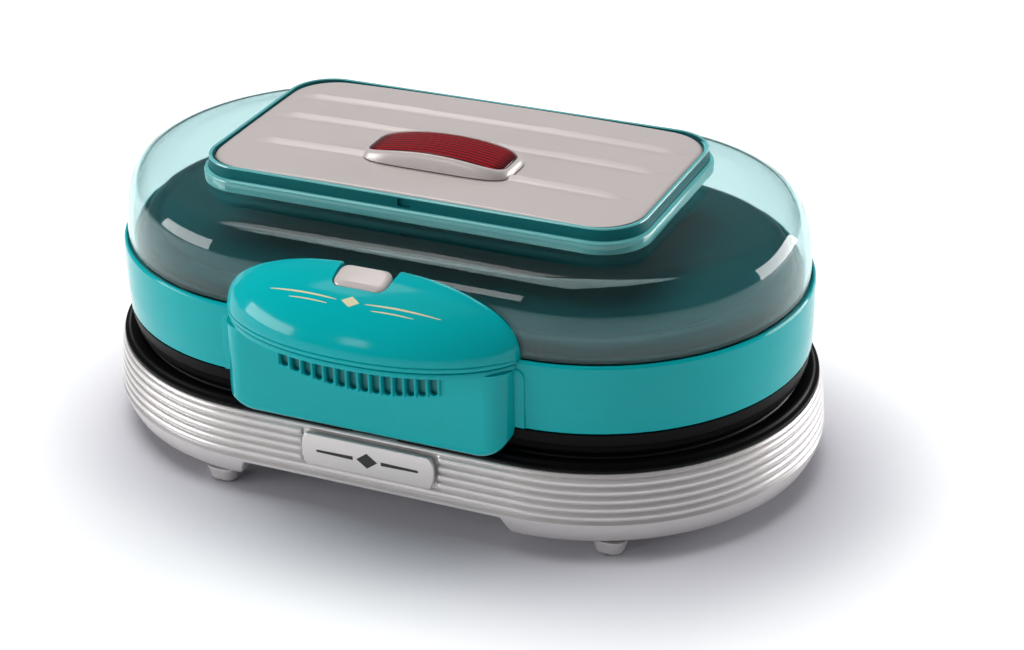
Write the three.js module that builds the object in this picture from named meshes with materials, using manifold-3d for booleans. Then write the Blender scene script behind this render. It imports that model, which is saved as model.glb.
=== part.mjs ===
// Two-well burger and sandwich press with a capsule-shaped plan, built in millimetres with +Z up.
// The origin is the middle of the footprint on the worktop. The handle is on the -Y side.
// Every outline is an offset of one straight spine, so a racetrack solid is a lathe turned
// about Z and then split and pulled apart along X by half the spine's length.

import * as THREE from 'three';
import Module from 'manifold-3d';
import { mergeVertices } from 'three/addons/utils/BufferGeometryUtils.js';

const wasm = await Module();
wasm.setup();

// Driving dimensions, in millimetres.
const SPINE_HALF = 55;
const ROUND_SEGMENTS = 36;
const GAP = 0.35;

const BASE = { rimR: 84.4, rimZ: 35, crestR: 86.2, valleyR: 85, beadsFrom: 17.5, beads: 5,
  podZ: 6.9, podR: 82.6, wall: 2.8, floor: 2.2, podInnerX: 53, midZ: 14 };
const BAND = { r: 80.6, z0: 49.2, z1: 75.8, wall: 2.3 };
const COVER = { wall: 2, rimHalfX: 88.5, rimFrontY: -51, rimBackY: 47.5, stepZ: 110.3, seatZ: 112.3,
  rimTopZ: 115 };
const WELL = { x: 64, r: 54, floorR: 51.5, wall: 3, lowerFloorZ: 28.6, upperFloorZ: 51 };
const PLATE = { r: 76.8, lowerTopZ: 38.2, upperBottomZ: 40.8, slab: 4 };
const HINGE = { y: 95, z: 44.5, barrelR: 9, pinR: 2.9, armHalfX: 31.6, bracketX: 32, bracketEndX: 42 };
const HANDLE = { halfX: 55.8, lensHalfX: 58.2, frontY: -90, lipY: -104, backY: -76.5, seamZ: 75, crestZ: 99.8,
  bottomZ: 38.8, cornerR: 12, wall: 2.3, lip: 2.5 };
const BUTTON = { halfX: 10.3, frontY: -88, backY: -77.9, topZ: 100.6 };
const HOOK = { y: -84.4, z: 62, halfX: 7, topZ: 80, tipZ: 41.6 };
const FOOT_SPINE_R = 76.5;
const FEET = [['front_left', -65, -1], ['front_right', 87.5, -1], ['rear_right', 65, 1], ['rear_left', -87.5, 1]];

// Materials.
function material(color, roughness, metalness, opacity = 1) {
  return new THREE.MeshStandardMaterial({ color, roughness, metalness, opacity, transparent: opacity < 1 });
}

const TEAL = material(0x20a0a6, 0.25, 0);
const CLEAR_TEAL = material(0x2fb3ba, 0.1, 0, 0.5);
const SILVER = material(0xb3adab, 0.35, 0.6);
const BLACK = material(0x111112, 0.5, 0);
const NON_STICK = material(0x1b1b1c, 0.45, 0.2);
const DARK = material(0x1d2224, 0.5, 0);
const STEEL = material(0xa8abae, 0.3, 1);
const TIN = material(0xc4c6c8, 0.4, 1);
const RUBBER = material(0x2a2a2c, 0.9, 0);
const RED = material(0x9c1620, 0.15, 0);
const AMBER = material(0xd8702a, 0.2, 0);
const CERAMIC = material(0xe6e1d6, 0.7, 0);

// Turns any closed geometry into a solid whose faces point outwards.
function solid(geometry) {
  const bare = geometry.clone();
  bare.deleteAttribute('normal');
  bare.deleteAttribute('uv');
  const merged = mergeVertices(bare, 1e-4);
  const position = merged.getAttribute('position').array;
  const index = Array.from(merged.getIndex().array);
  const faces = [];
  let volume = 0;
  const [a, b, c] = [new THREE.Vector3(), new THREE.Vector3(), new THREE.Vector3()];
  for (let i = 0; i < index.length; i += 3) {
    const [p, q, r] = index.slice(i, i + 3);
    if (p === q || q === r || r === p) continue;
    faces.push(p, q, r);
    volume += a.fromArray(position, 3 * p).dot(b.fromArray(position, 3 * q).cross(c.fromArray(position, 3 * r)));
  }
  if (volume < 0) faces.reverse();
  return new wasm.Manifold(new wasm.Mesh({
    numProp: 3,
    vertProperties: new Float32Array(position),
    triVerts: new Uint32Array(faces),
  }));
}

function joined(...parts) {
  return parts.reduce((sum, part) => sum.add(part));
}

function cut(body, ...tools) {
  return tools.reduce((left, tool) => left.subtract(tool), body);
}

function mirrorX(body) {
  return body.mirror([1, 0, 0]);
}

// A racetrack solid. The profile holds [offset from the spine, height] pairs.
function racetrack(profile, segments = ROUND_SEGMENTS) {
  const points = profile.map(([r, z]) => new THREE.Vector2(r, z));
  const first = points[0];
  const last = points[points.length - 1];
  if (first.x > 0 || last.x > 0) points.push(first.clone());
  const lathe = new THREE.LatheGeometry(points, segments, Math.PI / segments);
  lathe.rotateX(Math.PI / 2);
  const position = lathe.getAttribute('position');
  for (let i = 0; i < position.count; i += 1) {
    const x = position.getX(i);
    if (Math.abs(x) > 1e-3) position.setX(i, x + Math.sign(x) * SPINE_HALF);
  }
  return solid(lathe);
}

// The same outline from one height to another, filled to the middle.
function slab(r, z0, z1) {
  return racetrack([[0, z0], [r, z0], [r, z1], [0, z1]]);
}

function lathe(profile, x, y, segments = 20) {
  const points = profile.map(([r, z]) => new THREE.Vector2(r, z));
  if (points[0].x > 0) points.push(points[0].clone());
  const geometry = new THREE.LatheGeometry(points, segments);
  geometry.rotateX(Math.PI / 2);
  geometry.translate(x, y, 0);
  return solid(geometry);
}

function disc(r, x, y, z0, z1, segments = 12) {
  return lathe([[0, z0], [r, z0], [r, z1], [0, z1]], x, y, segments);
}

function box(x0, x1, y0, y1, z0, z1) {
  const geometry = new THREE.BoxGeometry(x1 - x0, y1 - y0, z1 - z0);
  geometry.translate((x0 + x1) / 2, (y0 + y1) / 2, (z0 + z1) / 2);
  return solid(geometry);
}

// A bar along X, round in section.
function rodX(r, y, z, x0, x1, segments = 20) {
  const geometry = new THREE.CylinderGeometry(r, r, x1 - x0, segments);
  geometry.rotateZ(Math.PI / 2);
  geometry.translate((x0 + x1) / 2, y, z);
  return solid(geometry);
}

function rodY(r, x, z, y0, y1, segments = 20) {
  const geometry = new THREE.CylinderGeometry(r, r, y1 - y0, segments);
  geometry.translate(x, (y0 + y1) / 2, z);
  return solid(geometry);
}

function roundedRect(x0, x1, y0, y1, r) {
  const shape = new THREE.Shape();
  shape.moveTo(x0 + r, y0);
  shape.lineTo(x1 - r, y0);
  shape.absarc(x1 - r, y0 + r, r, -Math.PI / 2, 0);
  shape.absarc(x1 - r, y1 - r, r, 0, Math.PI / 2);
  shape.absarc(x0 + r, y1 - r, r, Math.PI / 2, Math.PI);
  shape.absarc(x0 + r, y0 + r, r, Math.PI, 1.5 * Math.PI);
  return shape;
}

function polygon(points) {
  return new THREE.Shape(points.map(([x, y]) => new THREE.Vector2(x, y)));
}

function extrude(shape, depth) {
  return new THREE.ExtrudeGeometry(shape, { depth, bevelEnabled: false, curveSegments: 4 });
}

function prismZ(shape, z0, z1) {
  return solid(extrude(shape, z1 - z0).translate(0, 0, z0));
}

// The shape's axes stand for X and Z.
function prismY(shape, y0, y1) {
  return solid(extrude(shape, y1 - y0).rotateX(Math.PI / 2).translate(0, y1, 0));
}

// The shape's axes stand for Y and Z.
function prismX(shape, x0, x1) {
  const turn = new THREE.Matrix4().makeBasis(
    new THREE.Vector3(0, 1, 0), new THREE.Vector3(0, 0, 1), new THREE.Vector3(1, 0, 0));
  return solid(extrude(shape, x1 - x0).applyMatrix4(turn).translate(x0, 0, 0));
}

// A solid skinned over sections that share a point count.
function loft(sections) {
  const count = sections[0].length;
  const vertices = sections.flat(2);
  const faces = [];
  for (let s = 0; s + 1 < sections.length; s += 1) {
    for (let i = 0; i < count; i += 1) {
      const [a, b] = [s * count + i, s * count + ((i + 1) % count)];
      faces.push(a, b, b + count, a, b + count, a + count);
    }
  }
  const end = (sections.length - 1) * count;
  for (let i = 1; i + 1 < count; i += 1) {
    faces.push(0, i + 1, i);
    faces.push(end, end + i, end + i + 1);
  }
  const geometry = new THREE.BufferGeometry();
  geometry.setAttribute('position', new THREE.Float32BufferAttribute(vertices, 3));
  geometry.setIndex(faces);
  return solid(geometry);
}

// A round wire or tube along a curve.
function tube(curve, r, steps, sides, closed = false) {
  const section = new THREE.Shape();
  for (let i = 0; i < sides; i += 1) {
    const angle = (2 * Math.PI * i) / sides;
    const [x, y] = [r * Math.cos(angle), r * Math.sin(angle)];
    if (i === 0) section.moveTo(x, y);
    else section.lineTo(x, y);
  }
  section.closePath();
  const path = new THREE.CatmullRomCurve3(curve, closed);
  return solid(new THREE.ExtrudeGeometry(section, { steps, extrudePath: path, bevelEnabled: false }));
}

const appliance = new THREE.Group();

function place(name, body, look) {
  const { vertProperties, triVerts } = body.getMesh();
  const geometry = new THREE.BufferGeometry();
  geometry.setAttribute('position', new THREE.BufferAttribute(new Float32Array(vertProperties), 3));
  geometry.setIndex(new THREE.BufferAttribute(new Uint32Array(triVerts), 1));
  geometry.computeVertexNormals();
  const mesh = new THREE.Mesh(geometry, look);
  mesh.name = name;
  appliance.add(mesh);
}

// Base: a ribbed tub whose ends drop into two pods, with a raised floor between them.
function beadProfile() {
  const pitch = (BASE.rimZ - BASE.beadsFrom) / BASE.beads;
  const points = [];
  for (let i = 0; i < BASE.beads; i += 1) {
    const z = BASE.beadsFrom + i * pitch;
    const lean = (BASE.crestR - BASE.rimR) * (i / BASE.beads);
    points.push([BASE.valleyR - lean * 0.4, z]);
    points.push([BASE.crestR - lean, z + pitch * 0.3]);
    points.push([BASE.crestR - lean, z + pitch * 0.75]);
  }
  return points;
}

function tubOutside() {
  const skirt = [[0, BASE.podZ], [BASE.podR - 0.8, BASE.podZ], [BASE.podR, BASE.podZ + 0.9]];
  return racetrack([...skirt, ...beadProfile(), [BASE.rimR, BASE.rimZ], [0, BASE.rimZ]]);
}

function tubInside() {
  const floorZ = BASE.podZ + BASE.floor;
  return racetrack([[0, floorZ], [BASE.podR - 4, floorZ], [BASE.valleyR - BASE.wall, BASE.beadsFrom],
    [BASE.rimR - BASE.wall, BASE.rimZ - 3], [BASE.rimR - BASE.wall, BASE.rimZ + 1], [0, BASE.rimZ + 1]]);
}

const HATCH = { x: 40, y: 58, flangeX: 49, flangeY: 66, flangeZ: 16.5, topZ: 18.3, screwX: 44.5, screwY: 50 };
const NAMEPLATE = { halfX: 26.5, z0: 20, z1: 33.2, end: 3.5 };
const GLAND = { x: -58, z: 25, neckR: 5, boreR: 3.4, flangeR: 7.5 };

function screwSpots() {
  return [[-HATCH.screwX, -HATCH.screwY], [HATCH.screwX, -HATCH.screwY],
    [HATCH.screwX, HATCH.screwY], [-HATCH.screwX, HATCH.screwY]];
}

function bulgedPanel(halfX, z0, z1, bulge) {
  const shape = new THREE.Shape();
  const mid = (z0 + z1) / 2;
  shape.moveTo(-halfX + bulge, z0);
  shape.lineTo(halfX - bulge, z0);
  shape.quadraticCurveTo(halfX + bulge, mid, halfX - bulge, z1);
  shape.lineTo(-halfX + bulge, z1);
  shape.quadraticCurveTo(-halfX - bulge, mid, -halfX + bulge, z0);
  return shape;
}

function baseHousing() {
  const notchX = BASE.podInnerX;
  const outer = cut(tubOutside(), box(-notchX, notchX, -100, 100, 0, BASE.midZ));
  const inner = cut(tubInside(),
    box(-notchX - BASE.floor, notchX + BASE.floor, -100, 100, 0, BASE.midZ + BASE.floor));
  const hatch = prismZ(roundedRect(-HATCH.x, HATCH.x, -HATCH.y, HATCH.y, 6), 10, 18);
  const panel = prismY(bulgedPanel(NAMEPLATE.halfX + GAP, NAMEPLATE.z0 - GAP, NAMEPLATE.z1 + GAP,
    NAMEPLATE.end), -90, -84.6);
  const gland = rodY(GLAND.neckR + GAP, GLAND.x, GLAND.z, 78, 92);
  const screws = screwSpots().map(([x, y]) => joined(disc(1.8, x, y, 12, 18), disc(3.2, x, y, 12, 14.9)));
  return cut(outer, inner, hatch, panel, gland, ...screws);
}

function nameplate() {
  return prismY(bulgedPanel(NAMEPLATE.halfX, NAMEPLATE.z0, NAMEPLATE.z1, NAMEPLATE.end), -86.4, -84.9);
}

function bottomCover() {
  const pan = prismZ(roundedRect(-HATCH.x + 0.5, HATCH.x - 0.5, -HATCH.y + 0.5, HATCH.y - 0.5, 5.5),
    BASE.midZ + 0.2, HATCH.flangeZ + 0.2);
  const flange = prismZ(roundedRect(-HATCH.flangeX, HATCH.flangeX, -HATCH.flangeY, HATCH.flangeY, 8),
    HATCH.flangeZ, HATCH.topZ);
  const vents = [-24, -12, 0, 12, 24].map((x) => box(x - 1.5, x + 1.5, -30, 30, 10, 20));
  const holes = screwSpots().map(([x, y]) => disc(1.7, x, y, 12, 20));
  return cut(joined(pan, flange), ...vents, ...holes);
}

function bottomScrew(x, y) {
  return joined(disc(1.35, x, y, 14.2, 18.8, 12), disc(2.8, x, y, 12.9, 14.6, 12));
}

function footY(x, side) {
  return side * Math.sqrt(FOOT_SPINE_R ** 2 - (Math.abs(x) - SPINE_HALF) ** 2);
}

function foot(x, y) {
  return lathe([[0, 1.8], [4.4, 1.8], [4.4, 0.6], [5.4, 0.6], [5.8, 1.4], [6.6, 6.5], [0, 6.5]], x, y, 16);
}

function footPad(x, y) {
  return disc(4.1, x, y, 0, 1.5, 16);
}

// Black trim around the cooking plate, stepped down on to the silver rim.
const KEEPER = { halfX: 9, frontY: -79, backY: -77.4, z0: 30, z1: 45.5 };

function keeperNotch(z0, z1) {
  return box(-KEEPER.halfX - 2, KEEPER.halfX + 2, -84.6, KEEPER.backY + 1.6, z0, z1);
}

function lowerBezel() {
  const ring = racetrack([[77.2, 33], [80.9, 33], [80.9, 35.4], [83.4, 35.4], [83.4, 36.6],
    [81.8, 37.2], [81.2, 38.2], [77.2, 38.2]]);
  return cut(ring, keeperNotch(30, 40));
}

function latchKeeper() {
  const { halfX, frontY, backY, z0, z1 } = KEEPER;
  return prismY(roundedRect(-halfX, halfX, z0, z1, 2), frontY, backY);
}

function wellCup(x, floorZ, rimZ, offset) {
  return lathe([[0, floorZ], [WELL.floorR + offset, floorZ], [WELL.r + offset, rimZ], [0, rimZ]], x, 0, 40);
}

const PLATE_SCREW_Y = 62;

function lowerPlate() {
  const top = PLATE.lowerTopZ;
  const bottom = WELL.lowerFloorZ - WELL.wall;
  let body = slab(PLATE.r, top - PLATE.slab, top);
  for (const x of [-WELL.x, WELL.x]) {
    body = joined(body, wellCup(x, bottom, top, WELL.wall));
  }
  for (const x of [-WELL.x, WELL.x]) {
    body = cut(body, wellCup(x, WELL.lowerFloorZ, top + 0.01, 0));
  }
  for (const y of [-PLATE_SCREW_Y, PLATE_SCREW_Y]) {
    body = cut(body, disc(2.1, 0, y, 20, 50, 12), disc(4, 0, y, top - 2, top + 1, 12));
  }
  return cut(body, box(-KEEPER.halfX - 2, KEEPER.halfX + 2, -80, KEEPER.backY + 1.6, 30, 40));
}

function upperPlate() {
  const bottom = PLATE.upperBottomZ;
  const top = WELL.upperFloorZ + WELL.wall;
  let body = slab(PLATE.r, bottom, bottom + PLATE.slab);
  for (const x of [-WELL.x, WELL.x]) {
    body = joined(body, wellCup(x, top, bottom, WELL.wall));
  }
  for (const x of [-WELL.x, WELL.x]) {
    body = cut(body, wellCup(x, WELL.upperFloorZ, bottom - 0.01, 0));
  }
  for (const y of [-PLATE_SCREW_Y, PLATE_SCREW_Y]) {
    body = cut(body, disc(2.1, 0, y, 38, 60, 12), disc(4, 0, y, bottom - 1, bottom + 2, 12));
  }
  return cut(body, keeperNotch(40, 50));
}

function plateScrew(y, headZ, tipZ) {
  const down = Math.sign(tipZ - headZ);
  const head = disc(3.5, 0, y, Math.min(headZ, headZ + down * 1.4), Math.max(headZ, headZ + down * 1.4), 12);
  return joined(head, disc(1.7, 0, y, Math.min(headZ + down, tipZ), Math.max(headZ + down, tipZ), 12));
}

// Sheathed heater: one open loop that runs under both wells, with its two ends side by side.
function element(z) {
  const points = [];
  const r = 34;
  for (const [side, from] of [[1, -90], [-1, 90]]) {
    for (let step = 0; step <= 6; step += 1) {
      const angle = THREE.MathUtils.degToRad(from + step * 30);
      points.push(new THREE.Vector3(side * WELL.x + r * Math.cos(angle), r * Math.sin(angle), z));
    }
  }
  points.push(new THREE.Vector3(-20, -r, z));
  return tube(points, 2.4, 40, 6);
}

function reflector(z0, z1, r, up) {
  const [low, high] = up ? [z0, z1] : [z1, z0];
  const t = up ? 1 : -1;
  return racetrack([[0, low], [r - 6, low], [r, high], [r - 1.4, high], [r - 6.6, low + t], [0, low + t]]);
}

function platePost(side) {
  return disc(4, side * 126, 0, BASE.podZ + BASE.floor + 0.3, PLATE.lowerTopZ - PLATE.slab - 0.3, 14);
}

function thermostat() {
  return joined(disc(8, 0, 38, 30, 34.2), disc(5.5, 0, 38, 26, 30.1), box(-9, 9, 36.5, 39.5, 27, 29));
}

function terminalBlock() {
  const block = box(GLAND.x - 13, GLAND.x + 13, 69, 76, 19, 28);
  const wells = [-8, 0, 8].map((x) => disc(2, GLAND.x + x, 72.5, 24, 30, 10));
  return cut(block, ...wells);
}

function cordGland() {
  const body = joined(rodY(GLAND.neckR, GLAND.x, GLAND.z, 79, 88), rodY(GLAND.flangeR, GLAND.x, GLAND.z, 87.4, 90.4));
  return cut(body, rodY(GLAND.boreR, GLAND.x, GLAND.z, 75, 95));
}

// Rear hinge: two black knuckles on the base, one wide teal knuckle on the lid, two pins.
function hingeBracket(side) {
  const [x0, x1] = [HINGE.bracketX, HINGE.bracketEndX];
  const post = box(x0, x1, 87.4, HINGE.y + HINGE.barrelR, 18, HINGE.z);
  const knuckle = rodX(HINGE.barrelR, HINGE.y, HINGE.z, x0, x1, 24);
  const bracket = cut(joined(post, knuckle), rodX(HINGE.pinR + 0.3, HINGE.y, HINGE.z, x0 - 1, x1 - 2));
  return side > 0 ? bracket : mirrorX(bracket);
}

function hingePin(side) {
  const [x0, x1] = side > 0 ? [24, HINGE.bracketEndX - 2.4] : [2.4 - HINGE.bracketEndX, -24];
  return rodX(HINGE.pinR, HINGE.y, HINGE.z, x0, x1, 16);
}

function hingeArm() {
  const half = HINGE.armHalfX;
  const knuckle = rodX(HINGE.barrelR, HINGE.y, HINGE.z, -half, half, 24);
  const web = prismX(polygon([[80, 52], [88, 44.5], [104, 44.5], [104, 62], [97, 71], [80, 71]]), -half, half);
  const bore = rodX(HINGE.pinR + 0.3, HINGE.y, HINGE.z, 22, half + 1);
  return cut(joined(knuckle, web), slab(BAND.r + GAP, 40, 90), bore, mirrorX(bore));
}

// Lid.
function lidBand() {
  const { r, z0, z1, wall } = BAND;
  return racetrack([[r - wall, z0], [r, z0], [r, z1 - 0.6], [r - 0.6, z1], [r - 1.5, z1], [r - 1.5, z1 - 1.6],
    [75.6, z1 - 1.6], [75.6, z1 - 3.8], [r - wall, z1 - 3.8]]);
}

function upperBezel() {
  const ring = racetrack([[77.2, 40.8], [78.2, 40.8], [80.1, 48.8], [77.9, 48.8], [77.9, 56], [77.2, 56]]);
  return cut(ring, keeperNotch(40, 50));
}

function domeProfile(offset) {
  return [[73 - offset, 76], [73 - offset, 78.6], [72 - offset, 80.8 - offset / 2], [68.5 - offset, 82.2 - offset],
    [0, 85 - offset]];
}

function innerHousing() {
  const outer = racetrack([[0, 74.6], [75.4, 74.6], [75.4, 76], ...domeProfile(0)]);
  return cut(outer, racetrack([[0, 74], [71, 74], ...domeProfile(2)]));
}

const COVER_SIDE = [[78.8, 74.6], [78.6, 82], [77.9, 89], [76.7, 95], [74.4, 100], [70.4, 103.6],
  [63.5, 105.4], [0, 106.6]];

function coverOutline(grow) {
  return racetrack([[0, 74.6], ...COVER_SIDE.map(([r, z]) => [r > 0 ? r + grow : 0, z + Math.max(grow, 0)])]);
}

// The rounded rectangle of the raised rim, moved inwards.
function insetRim(inset) {
  const { rimHalfX, rimFrontY, rimBackY } = COVER;
  return roundedRect(inset - rimHalfX, rimHalfX - inset, rimFrontY + inset, rimBackY - inset, 19 - inset / 2);
}

function lidCover() {
  const { wall, stepZ, seatZ, rimTopZ } = COVER;
  const inner = racetrack([[0, 74], [COVER_SIDE[0][0] - wall, 74],
    ...COVER_SIDE.slice(1).map(([r, z]) => [Math.max(r - wall, 0), z - wall])]);
  const step = prismZ(insetRim(0), 103, stepZ);
  const crown = cut(prismZ(insetRim(1.8), stepZ - 1, rimTopZ), prismZ(insetRim(3.4), seatZ, rimTopZ + 1));
  const hole = prismZ(insetRim(7), 90, rimTopZ + 3);
  return cut(joined(cut(coverOutline(0), inner), cut(joined(step, crown), inner)), hole);
}

const BADGE = { y: -15.5, halfX: 29.5, halfY: 12, z: 116.1, rise: 4.8 };

function topPlate() {
  const z0 = COVER.seatZ + 0.3;
  const sheet = prismZ(insetRim(3.7), z0, z0 + 3.4);
  const ribs = [[-21, 72], [4, 76], [24, 77]].map(([ribY, half]) => prismX(polygon([[ribY - 2.4, z0 + 3],
    [ribY + 2.4, z0 + 3], [ribY + 0.8, z0 + 4.4], [ribY - 0.8, z0 + 4.4]]), -half, half));
  const { y, halfX, halfY } = BADGE;
  const window = prismZ(roundedRect(-20, 20, y - 5, y + 5, 3), z0 - 1, z0 + 6);
  const landing = box(-halfX - 1.6, halfX + 1.6, y - halfY - 0.6, y + halfY + 0.6, z0 + 3.1, z0 + 6);
  return cut(joined(sheet, ...ribs), window, landing);
}

function archedBlock(halfX, halfY, lowZ, endZ, rise) {
  const shape = new THREE.Shape();
  shape.moveTo(-halfX, lowZ);
  shape.lineTo(halfX, lowZ);
  shape.lineTo(halfX, endZ);
  shape.quadraticCurveTo(0, endZ + 2 * rise, -halfX, endZ);
  shape.closePath();
  return prismY(shape, BADGE.y - halfY, BADGE.y + halfY);
}

function badgeFrame() {
  const { halfX, halfY, z, rise } = BADGE;
  const block = archedBlock(halfX, halfY, z, z + 2.2, rise * 0.8);
  const pocket = archedBlock(halfX - 2, halfY - 1.6, z - 1, z + 6, rise);
  return cut(block, pocket);
}

function badgeLens() {
  const { halfX, halfY, z, rise } = BADGE;
  return cut(archedBlock(halfX - 2.4, halfY - 2, z + 0.1, z + 1.6, rise),
    archedBlock(halfX - 4.4, halfY - 4, z - 1, z - 0.4, rise));
}

function pilotLamp() {
  return joined(rodX(2.6, BADGE.y, 112, -8, 8, 12), rodX(3.4, BADGE.y, 112, -12, -7.8, 12));
}

// Handle: a fender-shaped body that hangs in front of the band, and a pillow-shaped cap on it.
// Its pointed ends are blunted just short of full width.
const LENS_END = 0.995;

function lensDepth(x, halfX, depth) {
  return depth * (1 - Math.abs(x / halfX) ** 2.2) ** 0.6;
}

function crestRise(x, halfX, rise) {
  return rise * (1 - Math.abs(x / halfX) ** 2.2) ** 0.38;
}

function pillow(inset, floorZ) {
  const halfX = HANDLE.lensHalfX - inset;
  const wallY = HANDLE.backY;
  const depth = wallY - HANDLE.lipY - inset;
  const rise = HANDLE.crestZ - HANDLE.seamZ - inset;
  const sections = [];
  const stations = 20;
  const rounds = 7;
  for (let i = 0; i <= stations; i += 1) {
    const x = -LENS_END * halfX * Math.cos((Math.PI * i) / stations);
    const [d, h] = [lensDepth(x, halfX, depth), crestRise(x, halfX, rise)];
    const section = [[x, wallY + 1, floorZ], [x, wallY - d, floorZ]];
    for (let k = 0; k < rounds; k += 1) {
      const angle = (Math.PI / 2) * (k / (rounds - 1));
      const [c, s] = [Math.cos(angle) ** 1.15, Math.sin(angle) ** 1.15];
      section.push([x, wallY - d * c, HANDLE.seamZ + 0.2 + h * s]);
    }
    section.push([x, wallY + 1, HANDLE.seamZ + 0.2 + h]);
    sections.push(section);
  }
  return loft(sections);
}

function lidEnvelope() {
  return joined(slab(BAND.r + GAP, 30, BAND.z1 + GAP), coverOutline(GAP));
}

function handleCap() {
  const shell = cut(pillow(0, HANDLE.seamZ), pillow(2.2, HANDLE.seamZ - 2));
  const slot = prismZ(roundedRect(-BUTTON.halfX - 0.4, BUTTON.halfX + 0.4, BUTTON.frontY - 0.4, -70, 3.6), 85, 110);
  return cut(shell, slot, lidEnvelope());
}

function handleOutline(inset) {
  const { halfX, frontY, bottomZ, cornerR, seamZ, lip } = HANDLE;
  const front = roundedRect(inset - halfX, halfX - inset, bottomZ + inset, seamZ + 30, cornerR - inset);
  const plan = roundedRect(inset - halfX, halfX - inset, frontY + inset, -50, 9 - inset / 2);
  return prismY(front, -100, -60).intersect(prismZ(plan, 0, inset > 0 ? seamZ + 10 : seamZ - lip + 0.1));
}

function lensShape(inset) {
  const shape = new THREE.Shape();
  const steps = 20;
  const halfX = HANDLE.lensHalfX - inset;
  for (let i = 0; i <= steps; i += 1) {
    const x = -LENS_END * halfX * Math.cos((Math.PI * i) / steps);
    const y = HANDLE.backY - lensDepth(x, halfX, HANDLE.backY - HANDLE.lipY - inset);
    if (i === 0) shape.moveTo(x, y);
    else shape.lineTo(x, y);
  }
  shape.lineTo(LENS_END * halfX, -70);
  shape.lineTo(-LENS_END * halfX, -70);
  shape.closePath();
  return shape;
}

// Upright slots under the lip; their lower ends follow an arch.
const GRILLE = { slots: 14, pitch: 4.5, halfWidth: 1.6, depth: 1.5, footZ: 58, archZ: 4.2, topZ: 70.5 };

function grilleSlots() {
  const slots = [];
  for (let i = 0; i < GRILLE.slots; i += 1) {
    const x = (i - (GRILLE.slots - 1) / 2) * GRILLE.pitch;
    const footZ = GRILLE.footZ + GRILLE.archZ * (x / 30) ** 2;
    slots.push(box(x - GRILLE.halfWidth, x + GRILLE.halfWidth, HANDLE.frontY - 1, HANDLE.frontY + GRILLE.depth,
      footZ, GRILLE.topZ));
  }
  return joined(...slots);
}

function handleBody() {
  const { seamZ, lip, wall } = HANDLE;
  const flange = prismZ(lensShape(0.6), seamZ - lip, seamZ - GAP);
  const cavity = joined(handleOutline(wall), box(-46, 46, -87.7, -70, 45, 80));
  const lug = cut(prismX(roundedRect(-88.5, -81.6, 58, 66, 1.5), 9, 11), rodX(1.8, HOOK.y, HOOK.z, 8, 12));
  const shelf = box(5, 10, -89, -82, 71.8, 74);
  const shell = cut(joined(handleOutline(0), flange), cavity, grilleSlots());
  return cut(joined(shell, lug, mirrorX(lug), shelf), lidEnvelope());
}

// Latch: the button's wedge pushes the top of the hook back, so its toe swings forward.
function latchButton() {
  const { halfX, frontY, backY, topZ } = BUTTON;
  const side = polygon([[frontY, 91], [backY - 2.1, 91], [backY - 2.1, 93.6], [backY, topZ - 2.1], [backY, topZ - 1],
    [backY - 0.8, topZ], [backY - 4, topZ - 0.6], [frontY + 1.2, topZ - 3.4], [frontY, topZ - 4.6]]);
  const plan = prismZ(roundedRect(-halfX, halfX, frontY, backY, 3.2), 88, 105);
  const stem = prismX(polygon([[-88.3, 78.5], [-86.3, 78.5], [-84.55, 83], [-84.55, 94], [-88.3, 94]]), -3, 3);
  return joined(prismX(side, -halfX, halfX).intersect(plan), stem);
}

function latchHook() {
  const { y, z, halfX, topZ, tipZ } = HOOK;
  const blade = box(-halfX, halfX, y - 1, y + 1, tipZ, z + 3);
  const arm = box(-4, 4, y - 1, y + 1, z, topZ);
  const toe = prismX(polygon([[y, tipZ], [KEEPER.frontY - 0.4, tipZ + 1.2], [KEEPER.frontY - 0.4, tipZ + 2.6],
    [y, tipZ + 2.6]]), -halfX, halfX);
  const boss = rodX(3, y, z, -halfX, halfX);
  return cut(joined(blade, arm, toe, boss), rodX(1.8, y, z, -halfX - 1, halfX + 1));
}

function buttonSpring() {
  const points = [];
  const turns = 5;
  for (let i = 0; i <= turns * 8; i += 1) {
    const angle = (Math.PI / 4) * i;
    points.push(new THREE.Vector3(7.3 + 1.9 * Math.cos(angle), -84.9 + 1.9 * Math.sin(angle),
      74.9 + (15.6 * i) / (turns * 8)));
  }
  return tube(points, 0.35, 40, 4);
}

place('base_housing', baseHousing(), SILVER);
place('nameplate', nameplate(), SILVER);
place('bottom_cover', bottomCover(), DARK);
screwSpots().forEach(([x, y], i) => place(`bottom_screw_${i + 1}`, bottomScrew(x, y), STEEL));
for (const [corner, x, side] of FEET) {
  place(`foot_${corner}`, foot(x, footY(x, side)), SILVER);
  place(`foot_pad_${corner}`, footPad(x, footY(x, side)), RUBBER);
}
place('lower_bezel', lowerBezel(), BLACK);
place('lower_plate', lowerPlate(), NON_STICK);
place('lower_plate_screw_front', plateScrew(-PLATE_SCREW_Y, 37.9, 26), STEEL);
place('lower_plate_screw_rear', plateScrew(PLATE_SCREW_Y, 37.9, 26), STEEL);
place('lower_element', element(22.9), STEEL);
place('lower_reflector', reflector(19.1, 24, 66, true), TIN);
place('plate_post_left', platePost(-1), CERAMIC);
place('plate_post_right', platePost(1), CERAMIC);
place('thermostat', thermostat(), CERAMIC);
place('thermal_fuse', rodX(2.2, -38, 31.6, -8, 8, 12), STEEL);
place('terminal_block', terminalBlock(), CERAMIC);
place('cord_gland', cordGland(), BLACK);
place('hinge_bracket_left', hingeBracket(-1), BLACK);
place('hinge_bracket_right', hingeBracket(1), BLACK);
place('hinge_pin_left', hingePin(-1), STEEL);
place('hinge_pin_right', hingePin(1), STEEL);
place('latch_keeper', latchKeeper(), STEEL);

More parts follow.
